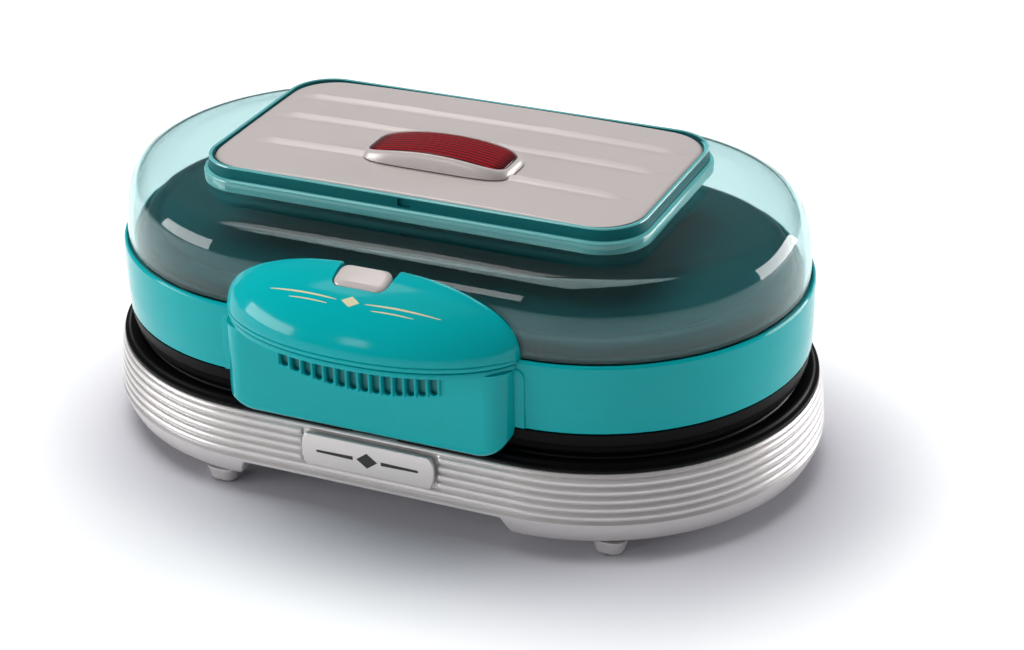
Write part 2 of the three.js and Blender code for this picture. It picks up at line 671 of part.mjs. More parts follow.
place('lid_band', lidBand(), TEAL);
place('upper_bezel', upperBezel(), BLACK);
place('upper_plate', upperPlate(), NON_STICK);
place('upper_plate_screw_front', plateScrew(-PLATE_SCREW_Y, 41.1, 54), STEEL);
place('upper_plate_screw_rear', plateScrew(PLATE_SCREW_Y, 41.1, 54), STEEL);
place('upper_element', element(57), STEEL);
place('upper_reflector', reflector(61, 66, 70, false), TIN);
place('inner_housing', innerHousing(), DARK);
place('lid_cover', lidCover(), CLEAR_TEAL);
place('top_plate', topPlate(), SILVER);
place('badge_frame', badgeFrame(), TIN);
place('badge_lens', badgeLens(), RED);
place('pilot_lamp', pilotLamp(), AMBER);
place('hinge_arm', hingeArm(), TEAL);
place('handle_body', handleBody(), TEAL);
place('handle_cap', handleCap(), TEAL);
place('hook_pin', rodX(1.5, HOOK.y, HOOK.z, -12, 12, 12), STEEL);
place('latch_button', latchButton(), SILVER);
place('latch_hook', latchHook(), STEEL);
place('button_spring', buttonSpring(), STEEL);

export default appliance;
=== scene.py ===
"""Looks for a two-well burger and sandwich press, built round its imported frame.

Lengths are in millimetres until a mesh is made. The base, bezels, heating plates, band, cover
and dome are profiles swept round a capsule, the offset of one straight spine along X. The top
plate, its rim, the badge and the handle have outlines of their own.
"""
import math

import bmesh
import bpy
from mathutils import Matrix, Vector


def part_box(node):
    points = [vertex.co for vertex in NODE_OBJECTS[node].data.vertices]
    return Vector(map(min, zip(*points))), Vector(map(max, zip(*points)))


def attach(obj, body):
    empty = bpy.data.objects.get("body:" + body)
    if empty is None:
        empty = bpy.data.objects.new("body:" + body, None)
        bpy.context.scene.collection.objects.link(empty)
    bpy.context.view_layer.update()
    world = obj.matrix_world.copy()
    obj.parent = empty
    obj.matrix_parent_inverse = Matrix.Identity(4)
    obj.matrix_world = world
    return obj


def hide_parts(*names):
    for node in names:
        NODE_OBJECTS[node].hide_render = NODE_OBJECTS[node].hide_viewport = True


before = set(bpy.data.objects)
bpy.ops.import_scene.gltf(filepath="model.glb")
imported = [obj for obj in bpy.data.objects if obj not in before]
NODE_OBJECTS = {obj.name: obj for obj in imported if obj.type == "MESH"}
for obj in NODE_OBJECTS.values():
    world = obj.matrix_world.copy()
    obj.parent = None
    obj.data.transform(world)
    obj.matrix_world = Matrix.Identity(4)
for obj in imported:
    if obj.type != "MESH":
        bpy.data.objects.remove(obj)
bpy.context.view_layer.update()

MM = 0.001


def edges(node):
    """A node's lowest and highest corner, in millimetres."""
    low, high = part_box(node)
    return Vector(low) / MM, Vector(high) / MM


BAND_LO, BAND_HI = edges("lid_band")
BASE_LO, BASE_HI = edges("base_housing")
COVER_HI = edges("lid_cover")[1]
DOME_LO, DOME_HI = edges("inner_housing")
PLATE_LO, PLATE_HI = edges("top_plate")
CAP_LO, CAP_HI = edges("handle_cap")
HANDLE_LO, HANDLE_HI = edges("handle_body")
SPINE = BAND_HI.x - BAND_HI.y


# ---- camera and stage

def make_camera():
    right = Vector((0.91760, 0.39728, -0.01288))
    up = Vector((-0.17111, 0.42406, 0.88934))
    back = Vector((0.35878, -0.81385, 0.45710))
    data = bpy.data.cameras.new("camera")
    data.lens = 86.9
    data.sensor_width = 36
    camera = bpy.data.objects.new("camera", data)
    camera.matrix_world = (Matrix.Translation((0.3579, -0.7672, 0.4751))
                           @ Matrix((right, up, back)).transposed().to_4x4())
    bpy.context.collection.objects.link(camera)
    bpy.context.scene.camera = camera


def panel_light(name, size, power):
    data = bpy.data.lights.new(name, "AREA")
    data.shape = "RECTANGLE"
    data.size, data.size_y = size
    data.energy = power
    light = bpy.data.objects.new(name, data)
    bpy.context.collection.objects.link(light)
    return light


def area_light(name, place, target, size, power):
    """Light panel at a place, in metres, turned towards its target."""
    light = panel_light(name, size, power)
    light.location = place
    aim = Vector(target) - Vector(place)
    light.rotation_euler = aim.to_track_quat("-Z", "Y").to_euler()
    return light


def softbox(name, top, bottom, width, power):
    """Upright light panel whose long middle line runs from top to bottom.

    It is hidden from rays that have come through the clear cover, so that the dome stays dark.
    """
    top, bottom = Vector(top), Vector(bottom)
    middle = (top + bottom) / 2
    along = (top - bottom).normalized()
    toward = (Vector((0, 0, 0.07)) - middle).normalized()
    across = along.cross(-toward).normalized()
    facing = across.cross(along).normalized()
    light = panel_light(name, (width, (top - bottom).length), power)
    turn = Matrix((across, along, facing)).transposed().to_4x4()
    light.matrix_world = Matrix.Translation(middle) @ turn
    light.visible_transmission = False


def make_stage():
    world = bpy.data.worlds.new("studio")
    world.use_nodes = True
    background = world.node_tree.nodes["Background"]
    background.inputs["Color"].default_value = (0.96, 0.97, 1.0, 1)
    background.inputs["Strength"].default_value = 0.14
    bpy.context.scene.world = world
    bpy.context.scene.view_settings.view_transform = "Standard"
    overhead = area_light("overhead", (-0.2, 0.1, 1.9), (0, 0, 0), (1.5, 1.2), 29)
    overhead.visible_glossy = False
    back_panel = area_light("back_panel", (-0.55, 1.35, 0.95), (0, 0, 0.1), (1.7, 0.9), 9)
    back_panel.visible_glossy = False
    back_panel.visible_transmission = False
    area_light("ridge_strip", (-0.85, 0.40, 1.95), (0, 0, 0.1), (1.0, 0.5), 4)
    softbox("left_panel", (-1.41, -0.81, 0.60), (-1.41, -0.81, 0.10), 1.0, 13)
    softbox("front_strip", (-0.50, -1.35, 0.75), (-0.50, -1.42, 0.42), 0.22, 1.2)
    softbox("right_panel", (1.20, 1.00, 0.56), (1.20, 1.00, 0.04), 1.05, 17)
    bpy.ops.mesh.primitive_plane_add(size=8, location=(0, 0, 0))
    floor = bpy.context.active_object
    floor.name = "floor"
    floor.data.materials.append(floor_paper())


def floor_paper():
    """White paper that glows evenly, except round the object, where a painted shadow makes it darker and
    glow less.
    """
    material = finish("floor_paper", (0.8, 0.8, 0.8), 0.9, grain=0.1, grain_size=2.0)
    place = object_xyz(material)
    along = math_node(material, "ABSOLUTE", math_node(material, "SUBTRACT", place["X"], 0.012))
    beyond = math_node(material, "MAXIMUM", math_node(material, "SUBTRACT", along, 0.055), 0.0)
    across = math_node(material, "ADD", place["Y"], 0.012)
    squares = math_node(material, "ADD", math_node(material, "MULTIPLY", beyond, beyond),
                        math_node(material, "MULTIPLY", across, across))
    reach = math_node(material, "SQRT", squares)
    # fade is 0 in the painted shadow round the object and 1 beyond it; it dims both the glow and the
    # paper's colour.
    fade = map_range(material, reach, smooth=True, From_Min=0.075, From_Max=0.165)
    glow = math_node(material, "MULTIPLY", fade, 0.24)
    links, shader = material.node_tree.links, material.node_tree.nodes["Principled BSDF"]
    shader.inputs["Emission Color"].default_value = (1.0, 1.0, 0.99, 1)
    links.new(glow, shader.inputs["Emission Strength"])
    # Darker paper near the object: painted shadow.
    tones = color_ramp(material, fade, (0.60, 0.595, 0.64), (0.86, 0.86, 0.86))
    links.new(tones, shader.inputs["Base Color"])
    return material


# ---- materials

def object_xyz(material):
    """Output sockets X, Y and Z of the object-space position."""
    nodes = material.node_tree.nodes
    place = nodes.new("ShaderNodeTexCoord")
    split = nodes.new("ShaderNodeSeparateXYZ")
    material.node_tree.links.new(place.outputs["Object"], split.inputs["Vector"])
    return split.outputs


def math_node(material, operation, a, b=None):
    """Result of a Math node; a and b are numbers or output sockets."""
    node = material.node_tree.nodes.new("ShaderNodeMath")
    node.operation = operation
    for socket, value in zip(node.inputs, (a, b)):
        if hasattr(value, "links"):
            material.node_tree.links.new(value, socket)
        elif value is not None:
            socket.default_value = value
    return node.outputs["Value"]


def map_range(material, value, smooth=False, **limits):
    """Result of a Map Range node that is fed from one output socket."""
    node = material.node_tree.nodes.new("ShaderNodeMapRange")
    node.interpolation_type = "SMOOTHSTEP" if smooth else "LINEAR"
    for socket, limit in limits.items():
        node.inputs[socket.replace("_", " ")].default_value = limit
    material.node_tree.links.new(value, node.inputs["Value"])
    return node.outputs["Result"]


def color_ramp(material, value, low, high):
    """Colour that runs from low to high as the value runs from 0 to 1."""
    ramp = material.node_tree.nodes.new("ShaderNodeValToRGB")
    for element, color in zip(ramp.color_ramp.elements, (low, high)):
        element.color = (*color, 1)
    material.node_tree.links.new(value, ramp.inputs["Fac"])
    return ramp.outputs["Color"]


def finish(name, color, roughness, metallic=0.0, coat=0.0, grain=0.0, grain_size=0.4,
           rough_spread=0.0, tone_spread=0.0, patch_size=18.0, **sockets):
    """A moulded, painted or drawn surface. Sizes of grain and patches are in millimetres."""
    material = bpy.data.materials.new(name)
    material.use_nodes = True
    nodes, links = material.node_tree.nodes, material.node_tree.links
    shader = nodes["Principled BSDF"]
    shader.inputs["Base Color"].default_value = (*color, 1)
    shader.inputs["Roughness"].default_value = roughness
    shader.inputs["Metallic"].default_value = metallic
    shader.inputs["Coat Weight"].default_value = coat
    shader.inputs["Coat Roughness"].default_value = 0.06
    for socket, value in sockets.items():
        shader.inputs[socket.replace("_", " ")].default_value = value
    place = nodes.new("ShaderNodeTexCoord")

    def noise(size, detail):
        texture = nodes.new("ShaderNodeTexNoise")
        texture.inputs["Scale"].default_value = 1 / (size * MM)
        texture.inputs["Detail"].default_value = detail
        links.new(place.outputs["Object"], texture.inputs["Vector"])
        return texture.outputs["Fac"]

    if rough_spread:
        spread = map_range(material, noise(patch_size, 4), To_Min=roughness - rough_spread,
                           To_Max=roughness + rough_spread)
        links.new(spread, shader.inputs["Roughness"])
    if tone_spread:
        low, high = ([c * (1 + shift) for c in color] for shift in (-tone_spread, tone_spread))
        tones = color_ramp(material, noise(patch_size * 0.6, 5), low, high)
        links.new(tones, shader.inputs["Base Color"])
    if grain:
        bump = nodes.new("ShaderNodeBump")
        bump.inputs["Strength"].default_value = grain
        bump.inputs["Distance"].default_value = 0.05 * MM
        links.new(noise(grain_size, 3), bump.inputs["Height"])
        links.new(bump.outputs["Normal"], shader.inputs["Normal"])
    return material


def tinted_clear():
    """Clear moulded plastic that takes its tint from its thickness."""
    material = finish("clear_teal_plastic", (1, 1, 1), 0.03, Transmission_Weight=1.0, IOR=1.42)
    nodes, links = material.node_tree.nodes, material.node_tree.links
    absorb = nodes.new("ShaderNodeVolumeAbsorption")
    absorb.inputs["Color"].default_value = (0.20, 0.75, 0.767, 1)
    absorb.inputs["Density"].default_value = 130
    links.new(absorb.outputs["Volume"], nodes["Material Output"].inputs["Volume"])
    return material


def pinstriped_red():
    """Red lens over fine dark lines that run along it; painted shade darkens it at both ends."""
    material = finish("red_lens", (0.42, 0.006, 0.012), 0.16, coat=0.15, rough_spread=0.03, patch_size=4,
                      Specular_IOR_Level=0.3)
    place = object_xyz(material)
    wave = math_node(material, "PINGPONG", place["Y"], 0.95 * MM)
    lines = map_range(material, wave, From_Min=0.12 * MM, From_Max=0.5 * MM, To_Min=0.12)
    # Painted shade: the lens colour darkens towards both ends. The fine lines are the lens's own
    # pinstripes.
    across = math_node(material, "ABSOLUTE", place["X"])
    ends = map_range(material, across, From_Min=22 * MM, From_Max=27 * MM, To_Min=1.0, To_Max=0.12)
    shade = math_node(material, "MULTIPLY", lines, ends)
    tones = color_ramp(material, shade, (0.012, 0.001, 0.002), (0.24, 0.004, 0.008))
    shader = material.node_tree.nodes["Principled BSDF"]
    material.node_tree.links.new(tones, shader.inputs["Base Color"])
    return material


TEAL = finish("gloss_teal", (0.0, 0.37, 0.395), 0.12, coat=0.06, grain=0.03, grain_size=1.6,
              rough_spread=0.03, tone_spread=0.02, patch_size=30, Specular_IOR_Level=0.16)
# Darker teal for the backs of the grille pockets: painted shade in the recesses under the lip.
PAINTED_POCKET_SHADE = finish("teal_pocket_painted_shade", (0.001, 0.22, 0.235), 0.35, rough_spread=0.05, patch_size=4)
CLEAR = tinted_clear()
RIM_PALE = finish("clear_edge", (0.13, 0.52, 0.53), 0.18, coat=0.6, Transmission_Weight=0.25,
                  rough_spread=0.03, tone_spread=0.04, patch_size=20)
RIM_DEEP = finish("clear_wall", (0.0, 0.115, 0.125), 0.34, rough_spread=0.03, patch_size=20,
                  Specular_IOR_Level=0.1)
SILVER = finish("silver_paint", (0.67, 0.64, 0.635), 0.34, metallic=0.45, coat=0.15, grain=0.10,
                grain_size=0.25, rough_spread=0.05, tone_spread=0.03, patch_size=9)
PLATE_SILVER = finish("plate_paint", (0.57, 0.515, 0.50), 0.32, metallic=0.2, coat=0.1, rough_spread=0.03,
                      tone_spread=0.03, patch_size=30)
BLACK = finish("black_plastic", (0.003, 0.003, 0.0035), 0.42, grain=0.2, grain_size=0.35,
               rough_spread=0.06, patch_size=12, Specular_IOR_Level=0.08)
NON_STICK = finish("non_stick", (0.012, 0.012, 0.013), 0.38, metallic=0.1, grain=0.5, grain_size=0.5,
                   rough_spread=0.08, tone_spread=0.2, patch_size=14)
DARK = finish("dark_housing", (0.008, 0.105, 0.117), 0.40, rough_spread=0.05, tone_spread=0.05,
              patch_size=40, Specular_IOR_Level=0.2)
STEEL = finish("steel", (0.56, 0.57, 0.58), 0.34, metallic=1.0, grain=0.05, grain_size=0.6,
               rough_spread=0.04, patch_size=12)
CHROME = finish("bright_trim", (0.72, 0.71, 0.70), 0.12, metallic=1.0, rough_spread=0.03, patch_size=6)
RUBBER = finish("rubber", (0.03, 0.03, 0.032), 0.75, grain=0.6, grain_size=0.4, rough_spread=0.08)
RED = pinstriped_red()
AMBER = finish("amber_lamp", (0.8, 0.25, 0.05), 0.1, Transmission_Weight=0.8, rough_spread=0.03)
CERAMIC = finish("ceramic", (0.72, 0.68, 0.60), 0.6, grain=0.5, grain_size=0.6, tone_spread=0.04,
                 patch_size=5)
CREAM = finish("cream_print", (0.62, 0.58, 0.36), 0.4, rough_spread=0.05, patch_size=2)
INK = finish("dark_print", (0.012, 0.012, 0.014), 0.4, rough_spread=0.05, patch_size=2)


# ---- mesh helpers

def smoothstep(a, b, x):
    t = min(max((x - a) / (b - a), 0.0), 1.0)
    return t * t * (3 - 2 * t)


def lerp(a, b, t):
    return a + (b - a) * t


def make_piece(name, bm, material, body, *replaced, sharp=32.0):
    """Scales a mesh in millimetres to metres, shades it and puts it on its body."""
    bmesh.ops.remove_doubles(bm, verts=bm.verts, dist=0.002)
    bmesh.ops.recalc_face_normals(bm, faces=bm.faces)
    limit = math.radians(sharp)
    for face in bm.faces:
        face.smooth = True
    for edge in bm.edges:
        edge.smooth = len(edge.link_faces) == 2 and edge.calc_face_angle(0) < limit
    bmesh.ops.scale(bm, vec=(MM, MM, MM), verts=bm.verts)
    mesh = bpy.data.meshes.new(name)
    bm.to_mesh(mesh)
    bm.free()
    mesh.materials.append(material)
    piece = bpy.data.objects.new(name, mesh)
    bpy.context.collection.objects.link(piece)
    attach(piece, body)
    if replaced:
        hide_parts(*replaced)
    return piece


def skin(rows, around=True, up=False, bm=None):
    """Faces over a grid of points. around closes each row, up joins the last row to the first."""
    bm = bm or bmesh.new()
    grid = [[bm.verts.new(p) for p in row] for row in rows]
    if up:
        grid.append(grid[0])
    count = len(grid[0])
    for low, high in zip(grid, grid[1:]):
        for i in range(count if around else count - 1):
            j = (i + 1) % count
            bm.faces.new((low[i], low[j], high[j], high[i]))
    return bm, grid


def closed_skin(rows, bm=None):
    """A solid over closed rows of points, with one face across each end."""
    bm, grid = skin(rows, bm=bm)
    bm.faces.new(grid[0])
    bm.faces.new(grid[-1])
    return bm


def cap_across(bm, ring):
    """Closes a ring that is symmetric front to back with strips that run across it."""
    count = len(ring)
    half = count // 2
    for i in range(half):
        a, b = ring[i], ring[i + 1]
        c, d = ring[(count - i - 1) % count], ring[(count - i) % count]
        corners = list(dict.fromkeys((a, b, c, d)))
        if len(corners) > 2:
            bm.faces.new(corners)


def fillet(points, steps=4):
    """Rounds a closed outline. Each point is (x, y) or (x, y, radius)."""
    out = []
    count = len(points)
    for i, point in enumerate(points):
        p = Vector(point[:2])
        radius = point[2] if len(point) > 2 else 0
        a = Vector(points[i - 1][:2]) - p
        b = Vector(points[(i + 1) % count][:2]) - p
        if not radius or a.length < 1e-6 or b.length < 1e-6:
            out.append(p)
            continue
        angle = a.angle(b)
        reach = min(radius / math.tan(angle / 2), 0.49 * a.length, 0.49 * b.length)
        start, end = p + a.normalized() * reach, p + b.normalized() * reach
        for k in range(steps + 1):
            t = k / steps
            out.append((1 - t) ** 2 * start + 2 * t * (1 - t) * p + t ** 2 * end)
    return out


ARC_STEPS = 30


def capsule_path(extra=()):
    """Spine point and outward normal at each station: left tip, front, right tip, back.

    extra holds more X stations for the straight front, where a detail starts or ends.
    """
    front = []
    for i in range(ARC_STEPS):
        angle = math.pi + math.pi / 2 * i / ARC_STEPS
        front.append((-SPINE, math.cos(angle), math.sin(angle)))
    for x in sorted({SPINE * (k / 9 - 1) for k in range(19)} | set(extra)):
        front.append((x, 0.0, -1.0))
    for i in range(1, ARC_STEPS + 1):
        angle = 1.5 * math.pi + math.pi / 2 * i / ARC_STEPS
        front.append((SPINE, math.cos(angle), math.sin(angle)))
    return front + [(x, nx, -ny) for x, nx, ny in reversed(front[1:-1])]


PATH = capsule_path()


def ring_at(r, z, path=PATH):
    return [Vector((x + r * nx, r * ny, z)) for x, nx, ny in path]


def swept_ring(profile):
    """A ring-shaped solid: a closed profile of (offset, height) swept round the capsule."""
    return skin([ring_at(r, z) for r, z in profile], up=True)[0]


def swept_solid(profile):
    """A solid filled to the middle: an open profile of (offset, height), closed at both ends."""
    bm, grid = skin([ring_at(r, z) for r, z in profile])
    cap_across(bm, grid[0])
    cap_across(bm, grid[-1])
    bmesh.ops.recalc_face_normals(bm, faces=bm.faces)
    return bm


def rounded_rect(x0, x1, y0, y1, r, steps=8):
    out = []
    corners = ((x1 - r, y0 + r, -90), (x1 - r, y1 - r, 0), (x0 + r, y1 - r, 90), (x0 + r, y0 + r, 180))
    for cx, cy, start in corners:
        for k in range(steps + 1):
            angle = math.radians(start + 90 * k / steps)
            out.append(Vector((cx + r * math.cos(angle), cy + r * math.sin(angle))))
    return out


def outward(loop):
    """Outward unit normals of a loop that turns anticlockwise."""
    out = []
    for i, p in enumerate(loop):
        along = (loop[(i + 1) % len(loop)] - p).normalized() + (p - loop[i - 1]).normalized()
        out.append(Vector((along.y, -along.x)).normalized())
    return out


def stacked(loop, levels, to_point, bm=None):
    """A solid over a plane loop. levels are (outward offset, height); both ends are closed."""
    normals = outward(loop)
    rows = [[to_point(p + n * off, height) for p, n in zip(loop, normals)] for off, height in levels]
    return closed_skin(rows, bm)


def upright(p, z):
    return Vector((p.x, p.y, z))


def facing_front(p, depth):
    return Vector((p.x, depth, p.y))


def facing_side(p, x):
    return Vector((x, p.x, p.y))


def turned(profile, x, y, segments=32):
    """A solid of revolution about an upright axis; the profile starts and ends on it."""
    angles = [2 * math.pi * k / segments for k in range(segments)]
    return closed_skin([[Vector((x + r * math.cos(a), y + r * math.sin(a), z)) for a in angles]
                        for r, z in profile])


def apply_modifiers(piece):
    graph = bpy.context.evaluated_depsgraph_get()
    result = bpy.data.meshes.new_from_object(piece.evaluated_get(graph))
    piece.modifiers.clear()
    piece.data = result


def boolean(piece, cutter_bm, operation):
    """Joins or cuts a piece with a scratch solid that is thrown away."""
    bmesh.ops.recalc_face_normals(cutter_bm, faces=cutter_bm.faces)
    bmesh.ops.scale(cutter_bm, vec=(MM, MM, MM), verts=cutter_bm.verts)
    mesh = bpy.data.meshes.new("cutter")
    cutter_bm.to_mesh(mesh)
    cutter_bm.free()
    cutter = bpy.data.objects.new("cutter", mesh)
    bpy.context.collection.objects.link(cutter)
    modifier = piece.modifiers.new("cut", "BOOLEAN")
    modifier.operation = operation
    modifier.solver = "EXACT"
    modifier.object = cutter
    apply_modifiers(piece)
    bpy.data.objects.remove(cutter)
    for polygon in piece.data.polygons:
        polygon.use_smooth = True
    piece.data.set_sharp_from_angle(angle=math.radians(32))


def flatten_shading(piece):
    """Weights normals by face area, so that wide flat faces shade flat up to their rounded edges."""
    modifier = piece.modifiers.new("flat", "WEIGHTED_NORMAL")
    modifier.keep_sharp = True
    modifier.weight = 100
    apply_modifiers(piece)


# ---- base

RIM_R = BASE_HI.y - 1.8
RIM_Z = BASE_HI.z
POD_Z = BASE_LO.z
ARCH_Z = edges("bottom_cover")[0].z - 0.2
BEAD_PITCH = 3.3
BEADS = 5
BEAD_Z = RIM_Z - 1.7 - BEADS * BEAD_PITCH
BEAD_DEPTH = 1.15
POD_INNER_X = 52.5
SKIRT_EDGE_R = 1.3
PANEL_LO, PANEL_HI = edges("nameplate")
GLAND_LO, GLAND_HI = edges("cord_gland")
GLAND_HOLE_R = 5.3


def skirt_r(z):
    """Outer offset of the base without its beads."""
    if z < BEAD_Z:
        t = (z - POD_Z) / (BEAD_Z - POD_Z)
        return lerp(BASE_HI.y - 3.6, BASE_HI.y, math.sin(t * math.pi / 2))
    return lerp(BASE_HI.y, RIM_R, ((z - BEAD_Z) / (RIM_Z - BEAD_Z)) ** 1.2)


def arch_z(x):
    """Lower edge of the skirt: low round both ends, raised between the pods."""
    return lerp(ARCH_Z, POD_Z, smoothstep(POD_INNER_X - 1.5, POD_INNER_X + 3.0, abs(x)))


def base_shell():
    """Beaded skirt with two pods below, closed on top and bored for the cord gland."""
    half_name = PANEL_HI.x
    extra = []
    for side in (-1, 1):
        extra += [side * (POD_INNER_X - 1.5 + k * 0.75) for k in range(7)]
        extra += [side * (half_name + d) for d in (-3.2, -0.6, 0.3, 0.9, 1.6, 2.4)]
    path = capsule_path(x for x in extra if abs(x) < SPINE)
    heights = [BEAD_Z - 2.2, BEAD_Z - 1.0]
    per_bead = 8
    heights += [BEAD_Z + BEAD_PITCH * k / per_bead for k in range(BEADS * per_bead + 1)]

    def bead_dip(z, x, ny):
        phase = ((z - BEAD_Z) / BEAD_PITCH) % 1.0
        dip = BEAD_DEPTH * (1 - abs(math.sin(math.pi * phase)) ** 0.7)
        if z > BEAD_Z + (BEADS - 0.001) * BEAD_PITCH or z < BEAD_Z:
            dip = BEAD_DEPTH if abs(z - BEAD_Z - BEADS * BEAD_PITCH) < 0.01 else 0.0
        if ny < -0.99 and BEAD_Z + BEAD_PITCH < z < BEAD_Z + BEADS * BEAD_PITCH:
            end = smoothstep(half_name + 1.2, half_name + 0.2, abs(x))
            dip = lerp(dip, BEAD_DEPTH, end)
        return dip

    edge = SKIRT_EDGE_R
    lower = [arch_z(x + 80 * nx) for x, nx, _ in path]
    rows = []
    for turn in range(5):
        a = math.pi / 2 * turn / 4
        rise, dip = edge * (1 - math.cos(a)), edge * (1 - math.sin(a))
        rows.append([(*station, z + rise, dip) for station, z in zip(path, lower)])
    for t in (0.2, 0.4, 0.6, 0.8):
        rows.append([(*station, lerp(z + edge, BEAD_Z - 2.2, t), 0.0) for station, z in zip(path, lower)])
    for z in heights:
        rows.append([(x, nx, ny, z, bead_dip(z, x, ny)) for x, nx, ny in path])
    points = []
    for row in rows:
        offsets = [skirt_r(z) - dip for *_, z, dip in row]
        points.append([Vector((x + r * nx, r * ny, z)) for r, (x, nx, ny, z, _) in zip(offsets, row)])
    rim = ((0.25, 0.9), (0.45, 0.4), (0.9, 0), (2.2, 0), (2.6, 0.5), (2.8, 4), (6, RIM_Z - 20))
    points += [ring_at(RIM_R - inset, RIM_Z - drop, path) for inset, drop in rim]
    bm, grid = skin(points)
    cap_across(bm, grid[0])
    cap_across(bm, grid[-1])
    piece = make_piece("ribbed_base", bm, SILVER, "base", "base_housing", sharp=38)
    hatch = rounded_rect(-40, 40, -58, 58, 6)
    boolean(piece, stacked(hatch, [(0, 10), (0, 20.5)], upright), "DIFFERENCE")
    gland_x, gland_z = (GLAND_LO.x + GLAND_HI.x) / 2, (GLAND_LO.z + GLAND_HI.z) / 2
    turns = [k * math.pi / 12 for k in range(24)]
    hole = [Vector((gland_x + GLAND_HOLE_R * math.cos(a), gland_z + GLAND_HOLE_R * math.sin(a)))
            for a in turns]
    boolean(piece, stacked(hole, [(0, 70), (0, 95)], facing_front), "DIFFERENCE")


def foot(corner):
    """Tapered foot that runs up into the skirt, rounder at the front than a turned peg."""
    lo, hi = edges(f"foot_{corner}")
    x, y, half = (lo.x + hi.x) / 2, (lo.y + hi.y) / 2, (hi.x - lo.x) / 2
    rows = []
    levels = [(0.66, lo.z + 0.2), (0.74, lo.z + 0.3), (0.79, lo.z + 0.8), (0.84, lo.z + 2.2),
              (0.90, lo.z + 4.0), (0.97, hi.z - 1.2), (1.0, hi.z - 0.1), (1.0, hi.z)]
    for scale, z in levels:
        row = []
        for k in range(36):
            a = 2 * math.pi * k / 36
            c, s = math.cos(a), math.sin(a)
            reach = half * scale * (abs(c) ** 3 + abs(s) ** 3) ** (-1 / 3)
            row.append(Vector((x + reach * c * 0.995, y + reach * s * 0.9, z)))
        rows.append(row)
    make_piece(f"tapered_foot_{corner}", closed_skin(rows), SILVER, "base", f"foot_{corner}", sharp=50)
    pad_lo, pad_hi = edges(f"foot_pad_{corner}")
    pad = turned([(0.01, pad_lo.z), (3.3, pad_lo.z), (3.8, pad_lo.z + 0.25), (4.0, pad_lo.z + 0.8),
                  (4.0, pad_hi.z), (0.01, pad_hi.z)], x, y)
    make_piece(f"rubber_pad_{corner}", pad, RUBBER, "base", f"foot_pad_{corner}", sharp=50)


def name_panel():
    """Panel with bulged ends that breaks the beads; a plain dark stripe and diamond stand on it."""
    lo, hi = PANEL_LO, PANEL_HI
    z, half_z, bulge = (lo.z + hi.z) / 2, (hi.z - lo.z) / 2, 2.6
    loop = []
    for side in (1, -1):
        for k in range(17):
            a = math.pi * (k / 16 - 0.5)
            x = hi.x - bulge + bulge * math.cos(a)
            loop.append(Vector((side * x, z + side * half_z * math.sin(a))))
    levels = [(0, hi.y), (0, lo.y + 0.55), (-0.12, lo.y + 0.25), (-0.35, lo.y + 0.06), (-0.6, lo.y)]
    bm = stacked(loop, levels, facing_front)
    make_piece("name_panel", bm, SILVER, "base", "nameplate", sharp=50)

    def mark(name, points):
        bm = stacked([Vector(p) for p in points], [(0, lo.y + 0.1), (0, lo.y - 0.03)], facing_front)
        make_piece(name, bm, INK, "base")

    mark("panel_mark_left", [(-20, z - 0.5), (-5.6, z - 0.75), (-5.6, z + 0.75), (-20, z + 0.5),
                             (-20.6, z)])
    mark("panel_mark_right", [(5.6, z - 0.75), (20, z - 0.5), (20.6, z), (20, z + 0.5), (5.6, z + 0.75)])
    mark("panel_mark_centre", [(-4.2, z), (0, z - 3.1), (4.2, z), (0, z + 3.1)])


def bezels():
    lo, hi = edges("lower_bezel")
    r, top = hi.y, hi.z
    keeper_half = 11.0
    ring = fillet([(77.2, lo.z, 0.2), (80.9, lo.z, 0.2), (80.9, lo.z + 2.4, 0.3), (r, lo.z + 2.4, 0.4),
                   (r, top - 1.7, 0.5), (r - 1.5, top - 1.1, 0.4), (r - 2.1, top - 0.3, 0.3),
                   (r - 2.6, top, 0.3), (77.2, top, 0.3)])
    piece = make_piece("lower_bezel_ring", swept_ring(ring), BLACK, "base", "lower_bezel", sharp=40)
    notch = rounded_rect(-keeper_half, keeper_half, -90, -70, 0.6, 3)
    boolean(piece, stacked(notch, [(0, lo.z - 2), (0, top + 2)], upright), "DIFFERENCE")
    lo, hi = edges("upper_bezel")
    ring = fillet([(77.2, lo.z, 0.2), (78.0, lo.z, 0.3), (78.5, lo.z + 2.2, 0.5), (79.0, lo.z + 3.4, 0.6),
                   (hi.y, 48.8, 0.35), (77.9, 48.8, 0.1), (77.9, hi.z, 0.1), (77.2, hi.z, 0.1)])
    make_piece("upper_bezel_ring", swept_ring(ring), BLACK, "lid", "upper_bezel", sharp=40)


LOWER_WELL_Z, UPPER_WELL_Z, WELL_X = 28.6, 51.0, 64


def heating_plate(name, node, body, levels, floor_z, face_z):
    """Coated casting with two round wells, each with a rounded brim and a drafted wall."""
    piece = make_piece(name, swept_solid(levels), NON_STICK, body, node, sharp=40)
    up = 1 if floor_z < face_z else -1
    for side in (-1, 1):
        well = [(0.01, floor_z), (47.5, floor_z), (49.4, floor_z + up * 0.25), (50.8, floor_z + up * 0.95),
                (51.5, floor_z + up * 2.2), (53.4, face_z - up * 1.1), (53.8, face_z - up * 0.4),
                (54.7, face_z + up * 0.02), (55.2, face_z + up * 2), (0.01, face_z + up * 2)]
        boolean(piece, turned(well, side * WELL_X, 0, 96), "DIFFERENCE")
    flatten_shading(piece)


